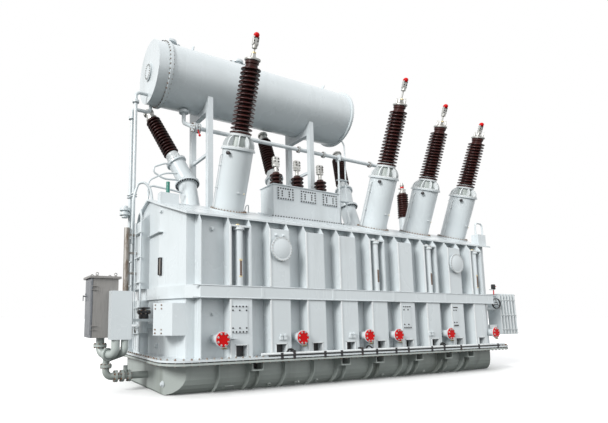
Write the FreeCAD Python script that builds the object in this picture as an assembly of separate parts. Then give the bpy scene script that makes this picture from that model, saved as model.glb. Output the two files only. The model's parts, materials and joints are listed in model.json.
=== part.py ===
"""Oil-filled power transformer: bell tank on a tub base, four high-voltage bushings, conservator.

Millimetres. +X runs along the tank, -Y is the high-voltage side, +Z is up.
The origin is on the ground, under the middle of the tank.
"""
import FreeCAD
import Part
import math
import os
from FreeCAD import Vector

# ---------------------------------------------------------------- driving dimensions
# tank
TANK_LENGTH = 10600          # upper tank, end wall to end wall
TANK_WIDTH = 3400            # front wall to back wall
TANK_BEVEL_X = 240           # corner bevel, measured along the long wall
TANK_BEVEL_Y = 1000          # corner bevel, measured along the end wall
TUB_END_OVERHANG = 135       # lower tank beyond the upper tank's end walls
TUB_BEVEL = 360              # corner bevel at 45 degrees
TUB_EASE_X = 40              # second, shallow bevel between corner and end wall
TUB_EASE_Y = 900             # end wall starts this far in from the long wall
TUB_HEIGHT = 651
TUB_BILGE_Y = 440            # how far the long sides curve under
TUB_BILGE_Z = 430            # height where they start to curve under
TUB_END_CHAMFER = 60         # small chamfer along the ends' bottom edge

# bolted joint between tub and bell
FLANGE_OVERHANG = 400        # flange edge beyond the long walls
FLANGE_END_OVERHANG = 375    # flange edge beyond the end walls
FLANGE_PLATE = 40
FLANGE_CORNER_R = 520
GASKET = 24
GASKET_INSET = 70

# bell: belt band, cover
BAND_BOTTOM = 1990
BAND_TOP = 2263
BAND_PROUD = 20              # band face beyond the stiffener faces
BAND_END_PROUD = 50          # band face beyond the end walls
RIM_Z = 3737                 # underside of the cover at its front edge
RIM_OVERHANG = 200           # cover edge beyond the long walls
COVER_END_OVERHANG = 80
ROOF_ANGLE = 20.0            # slope of both cover halves
RIDGE_HALF = 60              # half width of the flat ridge
COVER = 40

# box stiffeners on the long walls
STIFF_DEPTH = 300
STIFF_WIDTH = 538
STIFF_COUNT = 9
STIFF_FIRST_GAP = 1124       # left end wall to the first box
STIFF_LAST_GAP = 818         # last box to the right end wall
STIFF_PLATE = 16
STIFF_TOP_GAP = 160          # box face stops this far below the cover's edge
END_RIB_GAP = 441            # left end wall to the single rib plate
HAND_HOLE_W = 270
HAND_HOLE_H = 235
HAND_HOLE_DEPTH = 180

# high-voltage turrets and bushings: turret length, start and end of the porcelain
HV_Y = -800
HV_LONG = (1500, 1860, 3400)
HV_SHORT = (1400, 1720, 3140)
HV_OVERALL = (4150, 4280, 3950, 3760)
HV_FIRST_X = -3560
HV_SECOND_X = 1300
HV_FROM_RIGHT = (2185, 380)  # the last two, measured from the right end wall
HV_TURRET_R = 375
HV_FLANGE_LIP = 90
HV_FLANGE = 32
HV_CORE_R = 195
HV_SHED_R = 278

# conservator
CONS_R = 825
CONS_WALL = 12
CONS_LEFT = -5230
CONS_LENGTH = 6400
CONS_Y = 500
CONS_RISE = 3673             # axis above the cover's ridge
CONS_CAP = 330               # length of the left end section
CONS_FLANGE_LIP = 55
CONS_FLANGE = 36
CONS_VENTS = (595, 2723)     # flanged stubs on top, measured from the left end
CONS_VENT_R = 110
CONS_VENT_RISE = 260
POST = 150
POST_FRONT_Y = 0
POST_BACK_Y = 1080
SUPPORT_AT = (1550, 4960)    # supports, measured from the conservator's left end
TIE_RISE = 1493              # tie bar above the cover's ridge

HALF_L = TANK_LENGTH / 2
HALF_W = TANK_WIDTH / 2
TUB_HALF = HALF_L + TUB_END_OVERHANG
FLANGE_HALF = HALF_L + FLANGE_END_OVERHANG
STIFF_FACE = HALF_W + STIFF_DEPTH
STIFF_START = -HALF_L + STIFF_FIRST_GAP
STIFF_PITCH = (TANK_LENGTH - STIFF_FIRST_GAP - STIFF_LAST_GAP - STIFF_WIDTH) / (STIFF_COUNT - 1)
END_RIB_X = -HALF_L + END_RIB_GAP
FLANGE_HALF_W = HALF_W + FLANGE_OVERHANG
BELL_BOTTOM = TUB_HEIGHT + 2 * FLANGE_PLATE + GASKET
RIM_HALF_W = HALF_W + RIM_OVERHANG
SLOPE = math.radians(ROOF_ANGLE)
RIDGE_Z = RIM_Z + (RIM_HALF_W - RIDGE_HALF) * math.tan(SLOPE)
COVER_RISE = COVER / math.cos(SLOPE)
CONS_Z = RIDGE_Z + CONS_RISE
CONS_FLANGE_R = CONS_R + CONS_FLANGE_LIP
SUPPORT_X = [CONS_LEFT + at for at in SUPPORT_AT]
FRONT_NORMAL = Vector(0, -math.sin(SLOPE), math.cos(SLOPE))
BACK_NORMAL = Vector(0, math.sin(SLOPE), math.cos(SLOPE))
UP = Vector(0, 0, 1)

parts = {}


# ---------------------------------------------------------------- shape helpers
def box(x0, x1, y0, y1, z0, z1):
    return Part.makeBox(x1 - x0, y1 - y0, z1 - z0, Vector(x0, y0, z0))


def cylinder(base, axis, radius, length):
    return Part.makeCylinder(radius, length, Vector(base), Vector(axis))


def polygon(points):
    wire = Part.makePolygon([Vector(p) for p in points] + [Vector(points[0])])
    return Part.Face(wire)


def prism(plan, z0, z1):
    """Plan outline (x, y) extruded upwards."""
    return polygon([(x, y, z0) for x, y in plan]).extrude(Vector(0, 0, z1 - z0))


def section_x(outline, x0, x1):
    """Cross section (y, z) extruded along X."""
    return polygon([(x0, y, z) for y, z in outline]).extrude(Vector(x1 - x0, 0, 0))


def section_y(outline, y0, y1):
    """Side outline (x, z) extruded along Y."""
    return polygon([(x, y0, z) for x, z in outline]).extrude(Vector(0, y1 - y0, 0))


def turned(profile, base, axis):
    """Profile (radius, height) turned about an axis that starts at base."""
    outline = [(0, profile[0][1])] + list(profile) + [(0, profile[-1][1])]
    face = polygon([(r, 0, h) for r, h in outline])
    solid = face.revolve(Vector(0, 0, 0), UP, 360)
    solid.Placement = FreeCAD.Placement(Vector(base), FreeCAD.Rotation(UP, Vector(axis)))
    return solid


def pipe(points, radius, bend):
    """Round bar through the points, with each corner rounded to the bend radius."""
    path = [Vector(p) for p in points]
    edges = []
    start = path[0]
    for before, corner, after in zip(path, path[1:], path[2:]):
        to_corner = (corner - before).normalize()
        onward = (after - corner).normalize()
        half_turn = to_corner.getAngle(onward) / 2
        setback = bend * math.tan(half_turn)
        arc_in = corner - to_corner * setback
        arc_out = corner + onward * setback
        inward = (onward - to_corner).normalize()
        middle = corner + inward * (bend / math.cos(half_turn) - bend)
        edges.append(Part.makeLine(start, arc_in))
        edges.append(Part.Arc(arc_in, middle, arc_out).toShape())
        start = arc_out
    edges.append(Part.makeLine(start, path[-1]))
    spine = Part.Wire(edges)
    circle = Part.Wire(Part.makeCircle(radius, path[0], path[1] - path[0]))
    return spine.makePipeShell([circle], True, False)


def mirrored_y(shape):
    return shape.mirror(Vector(0, 0, 0), Vector(0, 1, 0))


def joined(shapes):
    """One solid from shapes that touch or overlap."""
    first = shapes[0]
    return first.fuse(shapes[1:]).removeSplitter() if len(shapes) > 1 else first


def group(shapes):
    """Separate solids kept in one node."""
    return Part.makeCompound(shapes)


def four_corners(quarter):
    """Whole plan outline from the points of its back right corner."""
    right = quarter + [(x, -y) for x, y in reversed(quarter)]
    return right + [(-x, -y) for x, y in right]


def bevelled_plan(half_l, half_w, bevel_x, bevel_y):
    return four_corners([(half_l - bevel_x, half_w), (half_l, half_w - bevel_y)])


def roof_under(y):
    """Height of the cover's underside."""
    return RIDGE_Z - max(abs(y) - RIDGE_HALF, 0) * math.tan(SLOPE)


def roof_top(y):
    """Height of the cover's upper surface."""
    return roof_under(y) + COVER_RISE


# ---------------------------------------------------------------- tank
BILGE_STEPS = 6              # flats that make the curve under the tub


def tub_bar(grow, x0, x1):
    """Length of the tub's cross section, with its sides moved out by grow."""
    half = HALF_W + grow
    turn = half - TUB_BILGE_Y
    curve = []
    for step in range(BILGE_STEPS + 1):
        angle = math.pi / 2 * step / BILGE_STEPS
        curve.append((turn + TUB_BILGE_Y * math.cos(angle), TUB_BILGE_Z * (1 - math.sin(angle))))
    right = [(half, TUB_HEIGHT)] + curve
    return section_x(right + [(-y, z) for y, z in reversed(right)], x0, x1)


def build_lower_tank():
    half = TUB_HALF
    quarter = [(half - TUB_EASE_X - TUB_BEVEL, HALF_W), (half - TUB_EASE_X, HALF_W - TUB_BEVEL),
               (half, HALF_W - TUB_EASE_Y)]
    plan = prism(four_corners(quarter), 0, TUB_HEIGHT)
    keel = half - TUB_END_CHAMFER
    side = section_y([(-half, TUB_HEIGHT), (-half, TUB_END_CHAMFER), (-keel, 0),
                      (keel, 0), (half, TUB_END_CHAMFER), (half, TUB_HEIGHT)], -HALF_W, HALF_W)
    return plan.common(tub_bar(0, -half, half)).common(side)


RIB_X = (-HALF_L + 960, -2660, -1840, 1080)      # plain ribs on the tub's long sides
RIB_PLATE = 20
RIB_PROUD = 120
PAD_X = (-3480, -1000, 130, 1570, 2760, 3720)   # lifting and jacking pads
PAD_WIDTH = 280
PAD_PROUD = 260
PAD_HEIGHT = 190
PAD_PLATE = 30


def tub_rib(x0, x1, top):
    """Pair of ribs, one on each long side, from the ground up to top."""
    above = box(x0, x1, -HALF_W * 2, HALF_W * 2, top, TUB_HEIGHT + 1)
    return tub_bar(RIB_PROUD, x0, x1).cut([tub_bar(0, x0, x1), above]).Solids


def build_tub_ribs():
    """Plain ribs, and a pair of ribs under each pad."""
    ribs = []
    for x in RIB_X:
        ribs += tub_rib(x - RIB_PLATE / 2, x + RIB_PLATE / 2, TUB_HEIGHT)
    under_pad = TUB_HEIGHT - PAD_HEIGHT
    for x in PAD_X:
        left = x - PAD_WIDTH / 2
        right = x + PAD_WIDTH / 2
        ribs += tub_rib(left, left + RIB_PLATE, under_pad)
        ribs += tub_rib(right - RIB_PLATE, right, under_pad)
    return group(ribs)


def build_jacking_pads():
    """Each pad is a foot plate hung below the flange on two gussets."""
    pads = []
    top = TUB_HEIGHT
    for x in PAD_X:
        plate = box(x - PAD_WIDTH / 2, x + PAD_WIDTH / 2, -HALF_W - PAD_PROUD, -HALF_W,
                    top - PAD_HEIGHT, top - PAD_HEIGHT + PAD_PLATE)
        gusset = [(-HALF_W, top), (-HALF_W - PAD_PROUD, top),
                  (-HALF_W - PAD_PROUD, top - PAD_HEIGHT), (-HALF_W, top - PAD_HEIGHT)]
        left = x - PAD_WIDTH / 2
        right = x + PAD_WIDTH / 2
        pad = joined([plate, section_x(gusset, left, left + RIB_PLATE),
                      section_x(gusset, right - RIB_PLATE, right)])
        pads += [pad, mirrored_y(pad)]
    return group(pads)


def rounded_plate(half_l, half_w, radius, z0, z1):
    plate = box(-half_l, half_l, -half_w, half_w, z0, z1)
    upright = [e for e in plate.Edges if abs(e.tangentAt(e.FirstParameter).z) > 0.9]
    return plate.makeFillet(radius, upright)


def build_flanges():
    half = FLANGE_HALF
    z = TUB_HEIGHT
    lower = rounded_plate(half, FLANGE_HALF_W, FLANGE_CORNER_R, z, z + FLANGE_PLATE)
    z += FLANGE_PLATE
    gasket = rounded_plate(half - GASKET_INSET, FLANGE_HALF_W - GASKET_INSET,
                           FLANGE_CORNER_R - GASKET_INSET, z, z + GASKET)
    z += GASKET
    upper = rounded_plate(half, FLANGE_HALF_W, FLANGE_CORNER_R, z, z + FLANGE_PLATE)
    return lower, gasket, upper


def roof_profile(extra):
    """Closed (y, z) outline under the cover, raised by extra."""
    return [(-RIM_HALF_W, BELL_BOTTOM), (-RIM_HALF_W, RIM_Z + extra), (-RIDGE_HALF, RIDGE_Z + extra),
            (RIDGE_HALF, RIDGE_Z + extra), (RIM_HALF_W, RIM_Z + extra), (RIM_HALF_W, BELL_BOTTOM)]


def tank_plan(z0, z1):
    """Prism of the tank's own plan."""
    return prism(bevelled_plan(HALF_L, HALF_W, TANK_BEVEL_X, TANK_BEVEL_Y), z0, z1)


def build_upper_tank():
    return tank_plan(BELL_BOTTOM, RIDGE_Z).common(section_x(roof_profile(0), -HALF_L, HALF_L))


def build_cover():
    half = HALF_L + COVER_END_OVERHANG
    plan = prism(bevelled_plan(half, RIM_HALF_W, TANK_BEVEL_X, TANK_BEVEL_Y + RIM_OVERHANG),
                 RIM_Z - 1, RIDGE_Z + COVER_RISE)
    slab = section_x(roof_profile(COVER_RISE), -half, half).cut(section_x(roof_profile(0), -half, half))
    return plan.common(slab)


def build_belt_band():
    face = STIFF_FACE + BAND_PROUD
    end = HALF_L + BAND_END_PROUD
    shoulder = HALF_L - TANK_BEVEL_X + BAND_END_PROUD
    quarter = [(abs(END_RIB_X) + STIFF_PLATE, face), (shoulder, HALF_W + BAND_END_PROUD),
               (end, HALF_W - TANK_BEVEL_Y)]
    return prism(four_corners(quarter), BAND_BOTTOM, BAND_TOP).cut(tank_plan(BAND_BOTTOM, BAND_TOP))


def stiffener_lefts():
    return [STIFF_START + i * STIFF_PITCH for i in range(STIFF_COUNT)]


def upper_stiffener(left):
    """Box with an inclined top plate; its side plates run on up to the cover."""
    face_top = RIM_Z - STIFF_TOP_GAP
    body = section_x([(-HALF_W, BAND_TOP), (-STIFF_FACE, BAND_TOP), (-STIFF_FACE, face_top),
                      (-HALF_W, face_top + STIFF_TOP_GAP / 2)], left, left + STIFF_WIDTH)
    cheek = [(-HALF_W, BAND_TOP), (-STIFF_FACE, BAND_TOP), (-STIFF_FACE, face_top),
             (-RIM_HALF_W, RIM_Z), (-HALF_W, roof_under(HALF_W))]
    right = left + STIFF_WIDTH
    return joined([body, section_x(cheek, left, left + STIFF_PLATE),
                   section_x(cheek, right - STIFF_PLATE, right)])


def end_rib(z0, z1):
    top = [(-RIM_HALF_W, RIM_Z), (-HALF_W, roof_under(HALF_W))] if z1 is None else [
        (-STIFF_FACE, z1), (-HALF_W, z1)]
    outline = [(-HALF_W, z0), (-STIFF_FACE, z0)]
    if z1 is None:
        outline.append((-STIFF_FACE, RIM_Z - STIFF_TOP_GAP))
    return section_x(outline + top, END_RIB_X, END_RIB_X + STIFF_PLATE)


def lower_stiffener(left):
    """Full-height box between flange and band, with a hand hole at its foot."""
    body = box(left, left + STIFF_WIDTH, -STIFF_FACE, -HALF_W, BELL_BOTTOM, BAND_BOTTOM)
    middle = left + STIFF_WIDTH / 2
    hole = box(middle - HAND_HOLE_W / 2, middle + HAND_HOLE_W / 2, -STIFF_FACE - 1,
               -STIFF_FACE + HAND_HOLE_DEPTH, BELL_BOTTOM + STIFF_PLATE,
               BELL_BOTTOM + STIFF_PLATE + HAND_HOLE_H)
    return body.cut(hole)


END_BOX_Y = (0, 900)         # near edges of the boxes on the end walls
END_BOX_WIDTH = 480
END_BOX_DEPTH = 200


def build_end_stiffeners(z0, z1):
    """Boxes on both end walls; those under the cover close with an inclined plate."""
    boxes = []
    inside = HALF_L - TANK_BEVEL_X
    face = HALF_L + END_BOX_DEPTH
    for y in END_BOX_Y:
        if z1 is None:
            top = roof_under(y + END_BOX_WIDTH) - STIFF_TOP_GAP
            outline = [(inside, z0), (face, z0), (face, top - END_BOX_DEPTH), (HALF_L, top), (inside, top)]
        else:
            outline = [(inside, z0), (face, z0), (face, z1), (inside, z1)]
        right = section_y(outline, y, y + END_BOX_WIDTH).cut(tank_plan(z0, RIDGE_Z))
        boxes += [right, right.mirror(Vector(0, 0, 0), Vector(1, 0, 0))]
    return group(boxes)


def riser_channel(left):
    """Room for a riser column, cut into an upper stiffener's face."""
    return box(left + CHANNEL_CHEEK, left + STIFF_WIDTH - CHANNEL_CHEEK, -STIFF_FACE - 1,
               -STIFF_FACE + CHANNEL_DEPTH, BAND_TOP - 1, RIM_Z - RISER_DROP + RISER_CAP)


def front_upper_stiffeners(plain):
    """The front wall's boxes, with channels for the risers."""
    boxes = list(plain)
    for index in RISERS:
        boxes[index] = boxes[index].cut(riser_channel(stiffener_lefts()[index]))
    return boxes


def build_stiffeners():
    upper = [upper_stiffener(x) for x in stiffener_lefts()] + [end_rib(BAND_TOP, None)]
    lower = [lower_stiffener(x) for x in stiffener_lefts()] + [end_rib(BELL_BOTTOM, BAND_BOTTOM)]
    return upper, lower


# ---------------------------------------------------------------- fittings on the front wall
MANHOLES = (1, 7)            # stiffeners that carry a manhole
MANHOLE_DROP = 617           # centre below the cover's edge
MANHOLE_R = 275
MANHOLE_NECK_R = 225
MANHOLE_NECK = 60
MANHOLE_LID = 30


def build_manholes():
    lids = []
    for index in MANHOLES:
        centre = Vector(stiffener_lefts()[index] + STIFF_WIDTH / 2, -STIFF_FACE, RIM_Z - MANHOLE_DROP)
        out = Vector(0, -1, 0)
        neck = cylinder(centre, out, MANHOLE_NECK_R, MANHOLE_NECK)
        lid = cylinder(centre + out * MANHOLE_NECK, out, MANHOLE_R, MANHOLE_LID)
        lids.append(joined([neck, lid]))
    return group(lids)


RISERS = (0, 4, 6, 8)        # stiffeners with a riser column in a channel in their face
RISER_R = 88
RISER_CAP_R = 122
RISER_CAP = 60
RISER_DROP = 257             # column's top below the cover's edge
RISER_SETBACK = 90           # column's axis behind the face
CHANNEL_CHEEK = 42
CHANNEL_DEPTH = 215


def build_risers():
    columns = []
    top = RIM_Z - RISER_DROP
    for index in RISERS:
        x = stiffener_lefts()[index] + STIFF_WIDTH / 2
        y = -STIFF_FACE + RISER_SETBACK
        column = cylinder((x, y, BAND_TOP), UP, RISER_R, top - BAND_TOP)
        cap = cylinder((x, y, top), UP, RISER_CAP_R, RISER_CAP)
        columns.append(joined([column, cap]))
    return group(columns)


STUB_BEFORE = (0, 2, 4, 5, 7, 9)   # blanked valve stubs, in the recess before these stiffeners
STUB_Z = 1145
STUB_R = 100
STUB_FLANGE_R = 165
STUB_FLANGE = 24
STUB_PROUD = 115             # flange face beyond the stiffener faces
STUB_REACH = STIFF_DEPTH + STUB_PROUD
BLANK_R = 150
BLANK = 22


def build_valve_stubs():
    stubs = []
    blanks = []
    out = Vector(0, -1, 0)
    for index in STUB_BEFORE:
        x = STIFF_START + index * STIFF_PITCH - (STIFF_PITCH - STIFF_WIDTH) / 2
        wall = Vector(x, -HALF_W, STUB_Z)
        neck = cylinder(wall, out, STUB_R, STUB_REACH)
        ring = cylinder(wall + out * (STUB_REACH - STUB_FLANGE), out, STUB_FLANGE_R, STUB_FLANGE)
        stubs.append(joined([neck, ring]))
        blanks.append(cylinder(wall + out * STUB_REACH, out, BLANK_R, BLANK))
    return group(stubs), group(blanks)


# ---------------------------------------------------------------- bushings
def hv_places():
    """Place along the tank, sizes and overall length of each high-voltage bushing."""
    along = [HV_FIRST_X, HV_SECOND_X] + [HALF_L - gap for gap in HV_FROM_RIGHT]
    return zip(along, (HV_LONG, HV_LONG, HV_SHORT, HV_SHORT), HV_OVERALL)


def build_hv(x, sizes, overall):
    turret_length, shed_start, shed_end = sizes
    lip = HV_TURRET_R + HV_FLANGE_LIP
    base = Vector(x, HV_Y, roof_top(HV_Y))
    turret = turned([(lip, 0), (lip, HV_FLANGE), (HV_TURRET_R, HV_FLANGE),
                     (HV_TURRET_R, turret_length - HV_FLANGE),
                     (HV_TURRET_R + HV_FLANGE_LIP / 2, turret_length - HV_FLANGE),
                     (HV_TURRET_R + HV_FLANGE_LIP / 2, turret_length)], base, FRONT_NORMAL)
    foot = base + FRONT_NORMAL * turret_length
    s0 = shed_start - turret_length
    s1 = shed_end - turret_length
    top = overall - turret_length
    bushing = turned([(HV_TURRET_R, 0), (HV_TURRET_R, 30), (HV_TURRET_R - 20, 60),
                      (HV_CORE_R + 35, s0 - 60), (HV_CORE_R + 35, s0), (HV_SHED_R, s0),
                      (HV_SHED_R - 20, s1), (HV_CORE_R - 10, s1), (HV_CORE_R - 10, s1 + 130),
                      (50, s1 + 170), (50, top - 110), (70, top - 100), (70, top)], foot, FRONT_NORMAL)
    return turret, bushing


MV_Y = 420
MV_LOWER_R = 250             # first stage, square to the cover
MV_UPPER_R = 240             # second stage, in line with the bushing
MV_FLANGE_LIP = 90
MV_FLANGE = 30
MV_UPPER = 680
MV_NECK = 290
MV_PORCELAIN = 1230
MV_CAP = 380
# x, length of the first stage, then the bushing's heading (from +Y towards +X) and tilt in degrees
MV_SET = ((-3990, 1070, -48, 29), (-930, 1000, 0, ROOF_ANGLE), (1840, 1050, 30, 26))


def build_mv(x, lower, heading, tilt):
    base = Vector(x, MV_Y, roof_top(MV_Y))
    knee = base + BACK_NORMAL * lower
    sideways = math.sin(math.radians(tilt))
    axis = Vector(sideways * math.sin(math.radians(heading)), sideways * math.cos(math.radians(heading)),
                  math.cos(math.radians(tilt)))
    ring = MV_LOWER_R + MV_FLANGE_LIP
    first = turned([(ring, 0), (ring, MV_FLANGE), (MV_LOWER_R, MV_FLANGE), (MV_LOWER_R, lower - 130),
                    (ring, lower - 130), (ring, lower - 70), (MV_LOWER_R, lower - 70),
                    (MV_LOWER_R, lower)], base, BACK_NORMAL)
    ball = Part.makeSphere(MV_LOWER_R, knee)
    second = turned([(MV_UPPER_R, 0), (MV_UPPER_R, MV_UPPER - 2 * MV_FLANGE),
                     (MV_UPPER_R + 50, MV_UPPER - 2 * MV_FLANGE), (MV_UPPER_R + 50, MV_UPPER)], knee, axis)
    porcelain_end = MV_NECK + MV_PORCELAIN
    bushing = turned([(MV_UPPER_R, 0), (170, 60), (170, MV_NECK), (220, MV_NECK), (210, porcelain_end),
                      (110, porcelain_end), (110, porcelain_end + MV_CAP)], knee + axis * MV_UPPER, axis)
    return joined([first, ball, second]), bushing


NEUTRAL_X = 4000
NEUTRAL_Y = 300
NEUTRAL_R = 150


def build_neutral():
    tilted = roof_profile(COVER_RISE)
    pedestal = cylinder((NEUTRAL_X, NEUTRAL_Y, roof_under(NEUTRAL_Y) - 300), UP, NEUTRAL_R, 1000)
    pedestal = pedestal.cut(section_x(tilted, NEUTRAL_X - 400, NEUTRAL_X + 400))
    z = roof_under(NEUTRAL_Y) + 700
    bushing = turned([(190, 0), (190, 850), (110, 900), (110, 1000), (60, 1010), (60, 1250)],
                     (NEUTRAL_X, NEUTRAL_Y, z), UP)
    return pedestal, bushing


# ---------------------------------------------------------------- low-voltage box
LV_X0 = -2160
LV_X1 = 120
LV_FRONT = -740
LV_BACK = -130
LV_RISE = 683                # box top above the cover's ridge
LV_TOP = RIDGE_Z + LV_RISE
LV_LID = 20
LV_LID_OVERHANG = 30
LV_FOOT_LIP = 110            # bolted foot around the box, on the slope
LV_FOOT = 24
LV_PLATE_W = 520
LV_PLATE_H = 330
LV_PLATE = 20
LV_BUSHING_X = (-1830, -1110, -280)
LV_BUSHING_Y = -400


def build_lv_box():
    x0, x1 = LV_X0, LV_X1
    body = box(x0, x1, LV_FRONT, LV_BACK, roof_under(LV_FRONT), LV_TOP)
    lip = LV_FOOT_LIP
    foot = section_x([(LV_FRONT - lip, roof_top(LV_FRONT - lip)),
                      (LV_FRONT - lip, roof_top(LV_FRONT - lip) + LV_FOOT),
                      (LV_BACK, roof_top(LV_BACK) + LV_FOOT), (LV_BACK, roof_top(LV_BACK))],
                     x0 - lip, x1 + lip)
    under = section_x(roof_profile(COVER_RISE), x0 - 400, x1 + 400)
    lid = box(x0 - LV_LID_OVERHANG, x1 + LV_LID_OVERHANG, LV_FRONT - LV_LID_OVERHANG,
              LV_BACK + LV_LID_OVERHANG, LV_TOP, LV_TOP + LV_LID)
    housing = joined([body, foot]).cut(under)
    plates = []
    span = LV_X1 - LV_X0
    for i in range(3):
        x = LV_X0 + span * (2 * i + 1) / 6
        plates.append(box(x - LV_PLATE_W / 2, x + LV_PLATE_W / 2, LV_FRONT - LV_PLATE, LV_FRONT,
                          LV_TOP - 60 - LV_PLATE_H, LV_TOP - 60))
    return housing, lid, group(plates)


def build_lv_bushing(x):
    return turned([(90, 0), (90, 30), (165, 40), (165, 370), (80, 380), (45, 390), (45, 620),
                   (95, 620), (95, 900)], (x, LV_BUSHING_Y, LV_TOP + LV_LID), UP)


# ---------------------------------------------------------------- conservator
def build_conservator():
    along = Vector(1, 0, 0)
    x0 = CONS_LEFT + CONS_CAP
    x1 = CONS_LEFT + CONS_LENGTH
    start = Vector(x0, CONS_Y, CONS_Z)
    length = x1 - x0
    tube = cylinder(start, along, CONS_R, length)
    left_ring = cylinder(start, along, CONS_FLANGE_R, CONS_FLANGE)
    right_ring = cylinder(Vector(x1 - CONS_FLANGE, CONS_Y, CONS_Z), along, CONS_FLANGE_R, CONS_FLANGE)
    bore = cylinder(start, along, CONS_R - CONS_WALL, length)
    stubs = []
    for at in CONS_VENTS:
        foot = Vector(CONS_LEFT + at, CONS_Y, CONS_Z + CONS_R - 40)
        stubs.append(cylinder(foot, UP, CONS_VENT_R, CONS_VENT_RISE))
        stubs.append(cylinder(foot + UP * (CONS_VENT_RISE - 60), UP, CONS_VENT_R + 65, 60))
    shell = joined([tube, left_ring, right_ring] + stubs).cut(bore)
    cap = turned([(CONS_R, 0), (CONS_R, CONS_CAP - CONS_FLANGE), (CONS_FLANGE_R, CONS_CAP - CONS_FLANGE),
                  (CONS_FLANGE_R, CONS_CAP)], (CONS_LEFT, CONS_Y, CONS_Z), along)
    hollow = cylinder((CONS_LEFT + 20, CONS_Y, CONS_Z), along, CONS_R - CONS_WALL, CONS_CAP)
    port = cylinder((CONS_LEFT - 40, CONS_Y, CONS_Z), along, 230, 40)
    left_end = joined([cap.cut(hollow), port])
    right_end = cylinder((x1, CONS_Y, CONS_Z), along, CONS_FLANGE_R, CONS_FLANGE)
    return shell, left_end, right_end


def build_support(x):
    """Front and back post, tie bar and saddle under the conservator."""
    half = POST / 2
    saddle_z = CONS_Z - CONS_R - 160
    posts = [box(x - half, x + half, y - half, y + half, roof_under(y + half), saddle_z)
             for y in (POST_FRONT_Y, POST_BACK_Y)]
    tie_z = RIDGE_Z + TIE_RISE
    tie = box(x - half / 2, x + half / 2, POST_FRONT_Y, POST_BACK_Y, tie_z, tie_z + half)
    saddle = box(x - half, x + half, POST_FRONT_Y - half, POST_BACK_Y + half, saddle_z, CONS_Z - 500)
    frame = joined(posts + [tie, saddle])
    seat = cylinder((x - POST, CONS_Y, CONS_Z), Vector(1, 0, 0), CONS_R + 0.3, 2 * POST)
    under = section_x(roof_profile(COVER_RISE), x - POST, x + POST)
    return frame.cut([seat, under])


# ---------------------------------------------------------------- pipework
GAS_PIPE_R = 55
GAS_PIPE_Y = POST_FRONT_Y + POST / 2 + GAS_PIPE_R + 12
GAS_PIPE_Z = RIDGE_Z + 2213
GAS_PIPE_DROP = CONS_LEFT + 1010     # nozzle under the conservator
GAS_PIPE_END = 2900
END_PIPE_R = 45
END_PIPE_Z = BELL_BOTTOM + 300       # lower end of the pipes on the left end wall
DRAIN_X = -HALF_L - 280
DRAIN_Y = END_BOX_Y[1] - 120
LEVEL_X = -HALF_L - 245
LEVEL_Y = END_BOX_Y[0] + END_BOX_WIDTH + 120
DRAIN_TOP_X = CONS_LEFT + 150
RELIEF_R = 130               # stacked relief fitting on the drain pipe
RELIEF_Z = RIM_Z + 370
VALVE_Y = -430
VALVE_Z = 1390
CONDUIT_R = 70
CONDUIT_X = -HALF_L - END_BOX_DEPTH - 250
CONDUIT_Y = END_BOX_Y[0] + 400


def build_gas_pipe():
    nozzle_z = CONS_Z - CONS_R - 20
    run = pipe([(GAS_PIPE_DROP, CONS_Y, nozzle_z), (GAS_PIPE_DROP, CONS_Y, GAS_PIPE_Z + 250),
                (GAS_PIPE_DROP + 200, GAS_PIPE_Y, GAS_PIPE_Z), (GAS_PIPE_END, GAS_PIPE_Y, GAS_PIPE_Z),
                (GAS_PIPE_END, GAS_PIPE_Y, RIM_Z + 400)], GAS_PIPE_R, 110)
    clamps = [box(x - 30, x + 30, POST_FRONT_Y + POST / 2, GAS_PIPE_Y, GAS_PIPE_Z - 30, GAS_PIPE_Z + 30)
              for x in SUPPORT_X]
    neck = cylinder((GAS_PIPE_DROP, CONS_Y, nozzle_z), UP, GAS_PIPE_R, 60)
    ring = cylinder((GAS_PIPE_DROP, CONS_Y, nozzle_z - 90), UP, GAS_PIPE_R * 2.4, 70)
    shell = cylinder((CONS_LEFT, CONS_Y, CONS_Z), Vector(1, 0, 0), CONS_R + 0.3, CONS_LENGTH)
    under = section_x(roof_profile(COVER_RISE), GAS_PIPE_END - 200, GAS_PIPE_END + 200)
    return joined([run, neck, ring] + clamps).cut([shell, under])


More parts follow.
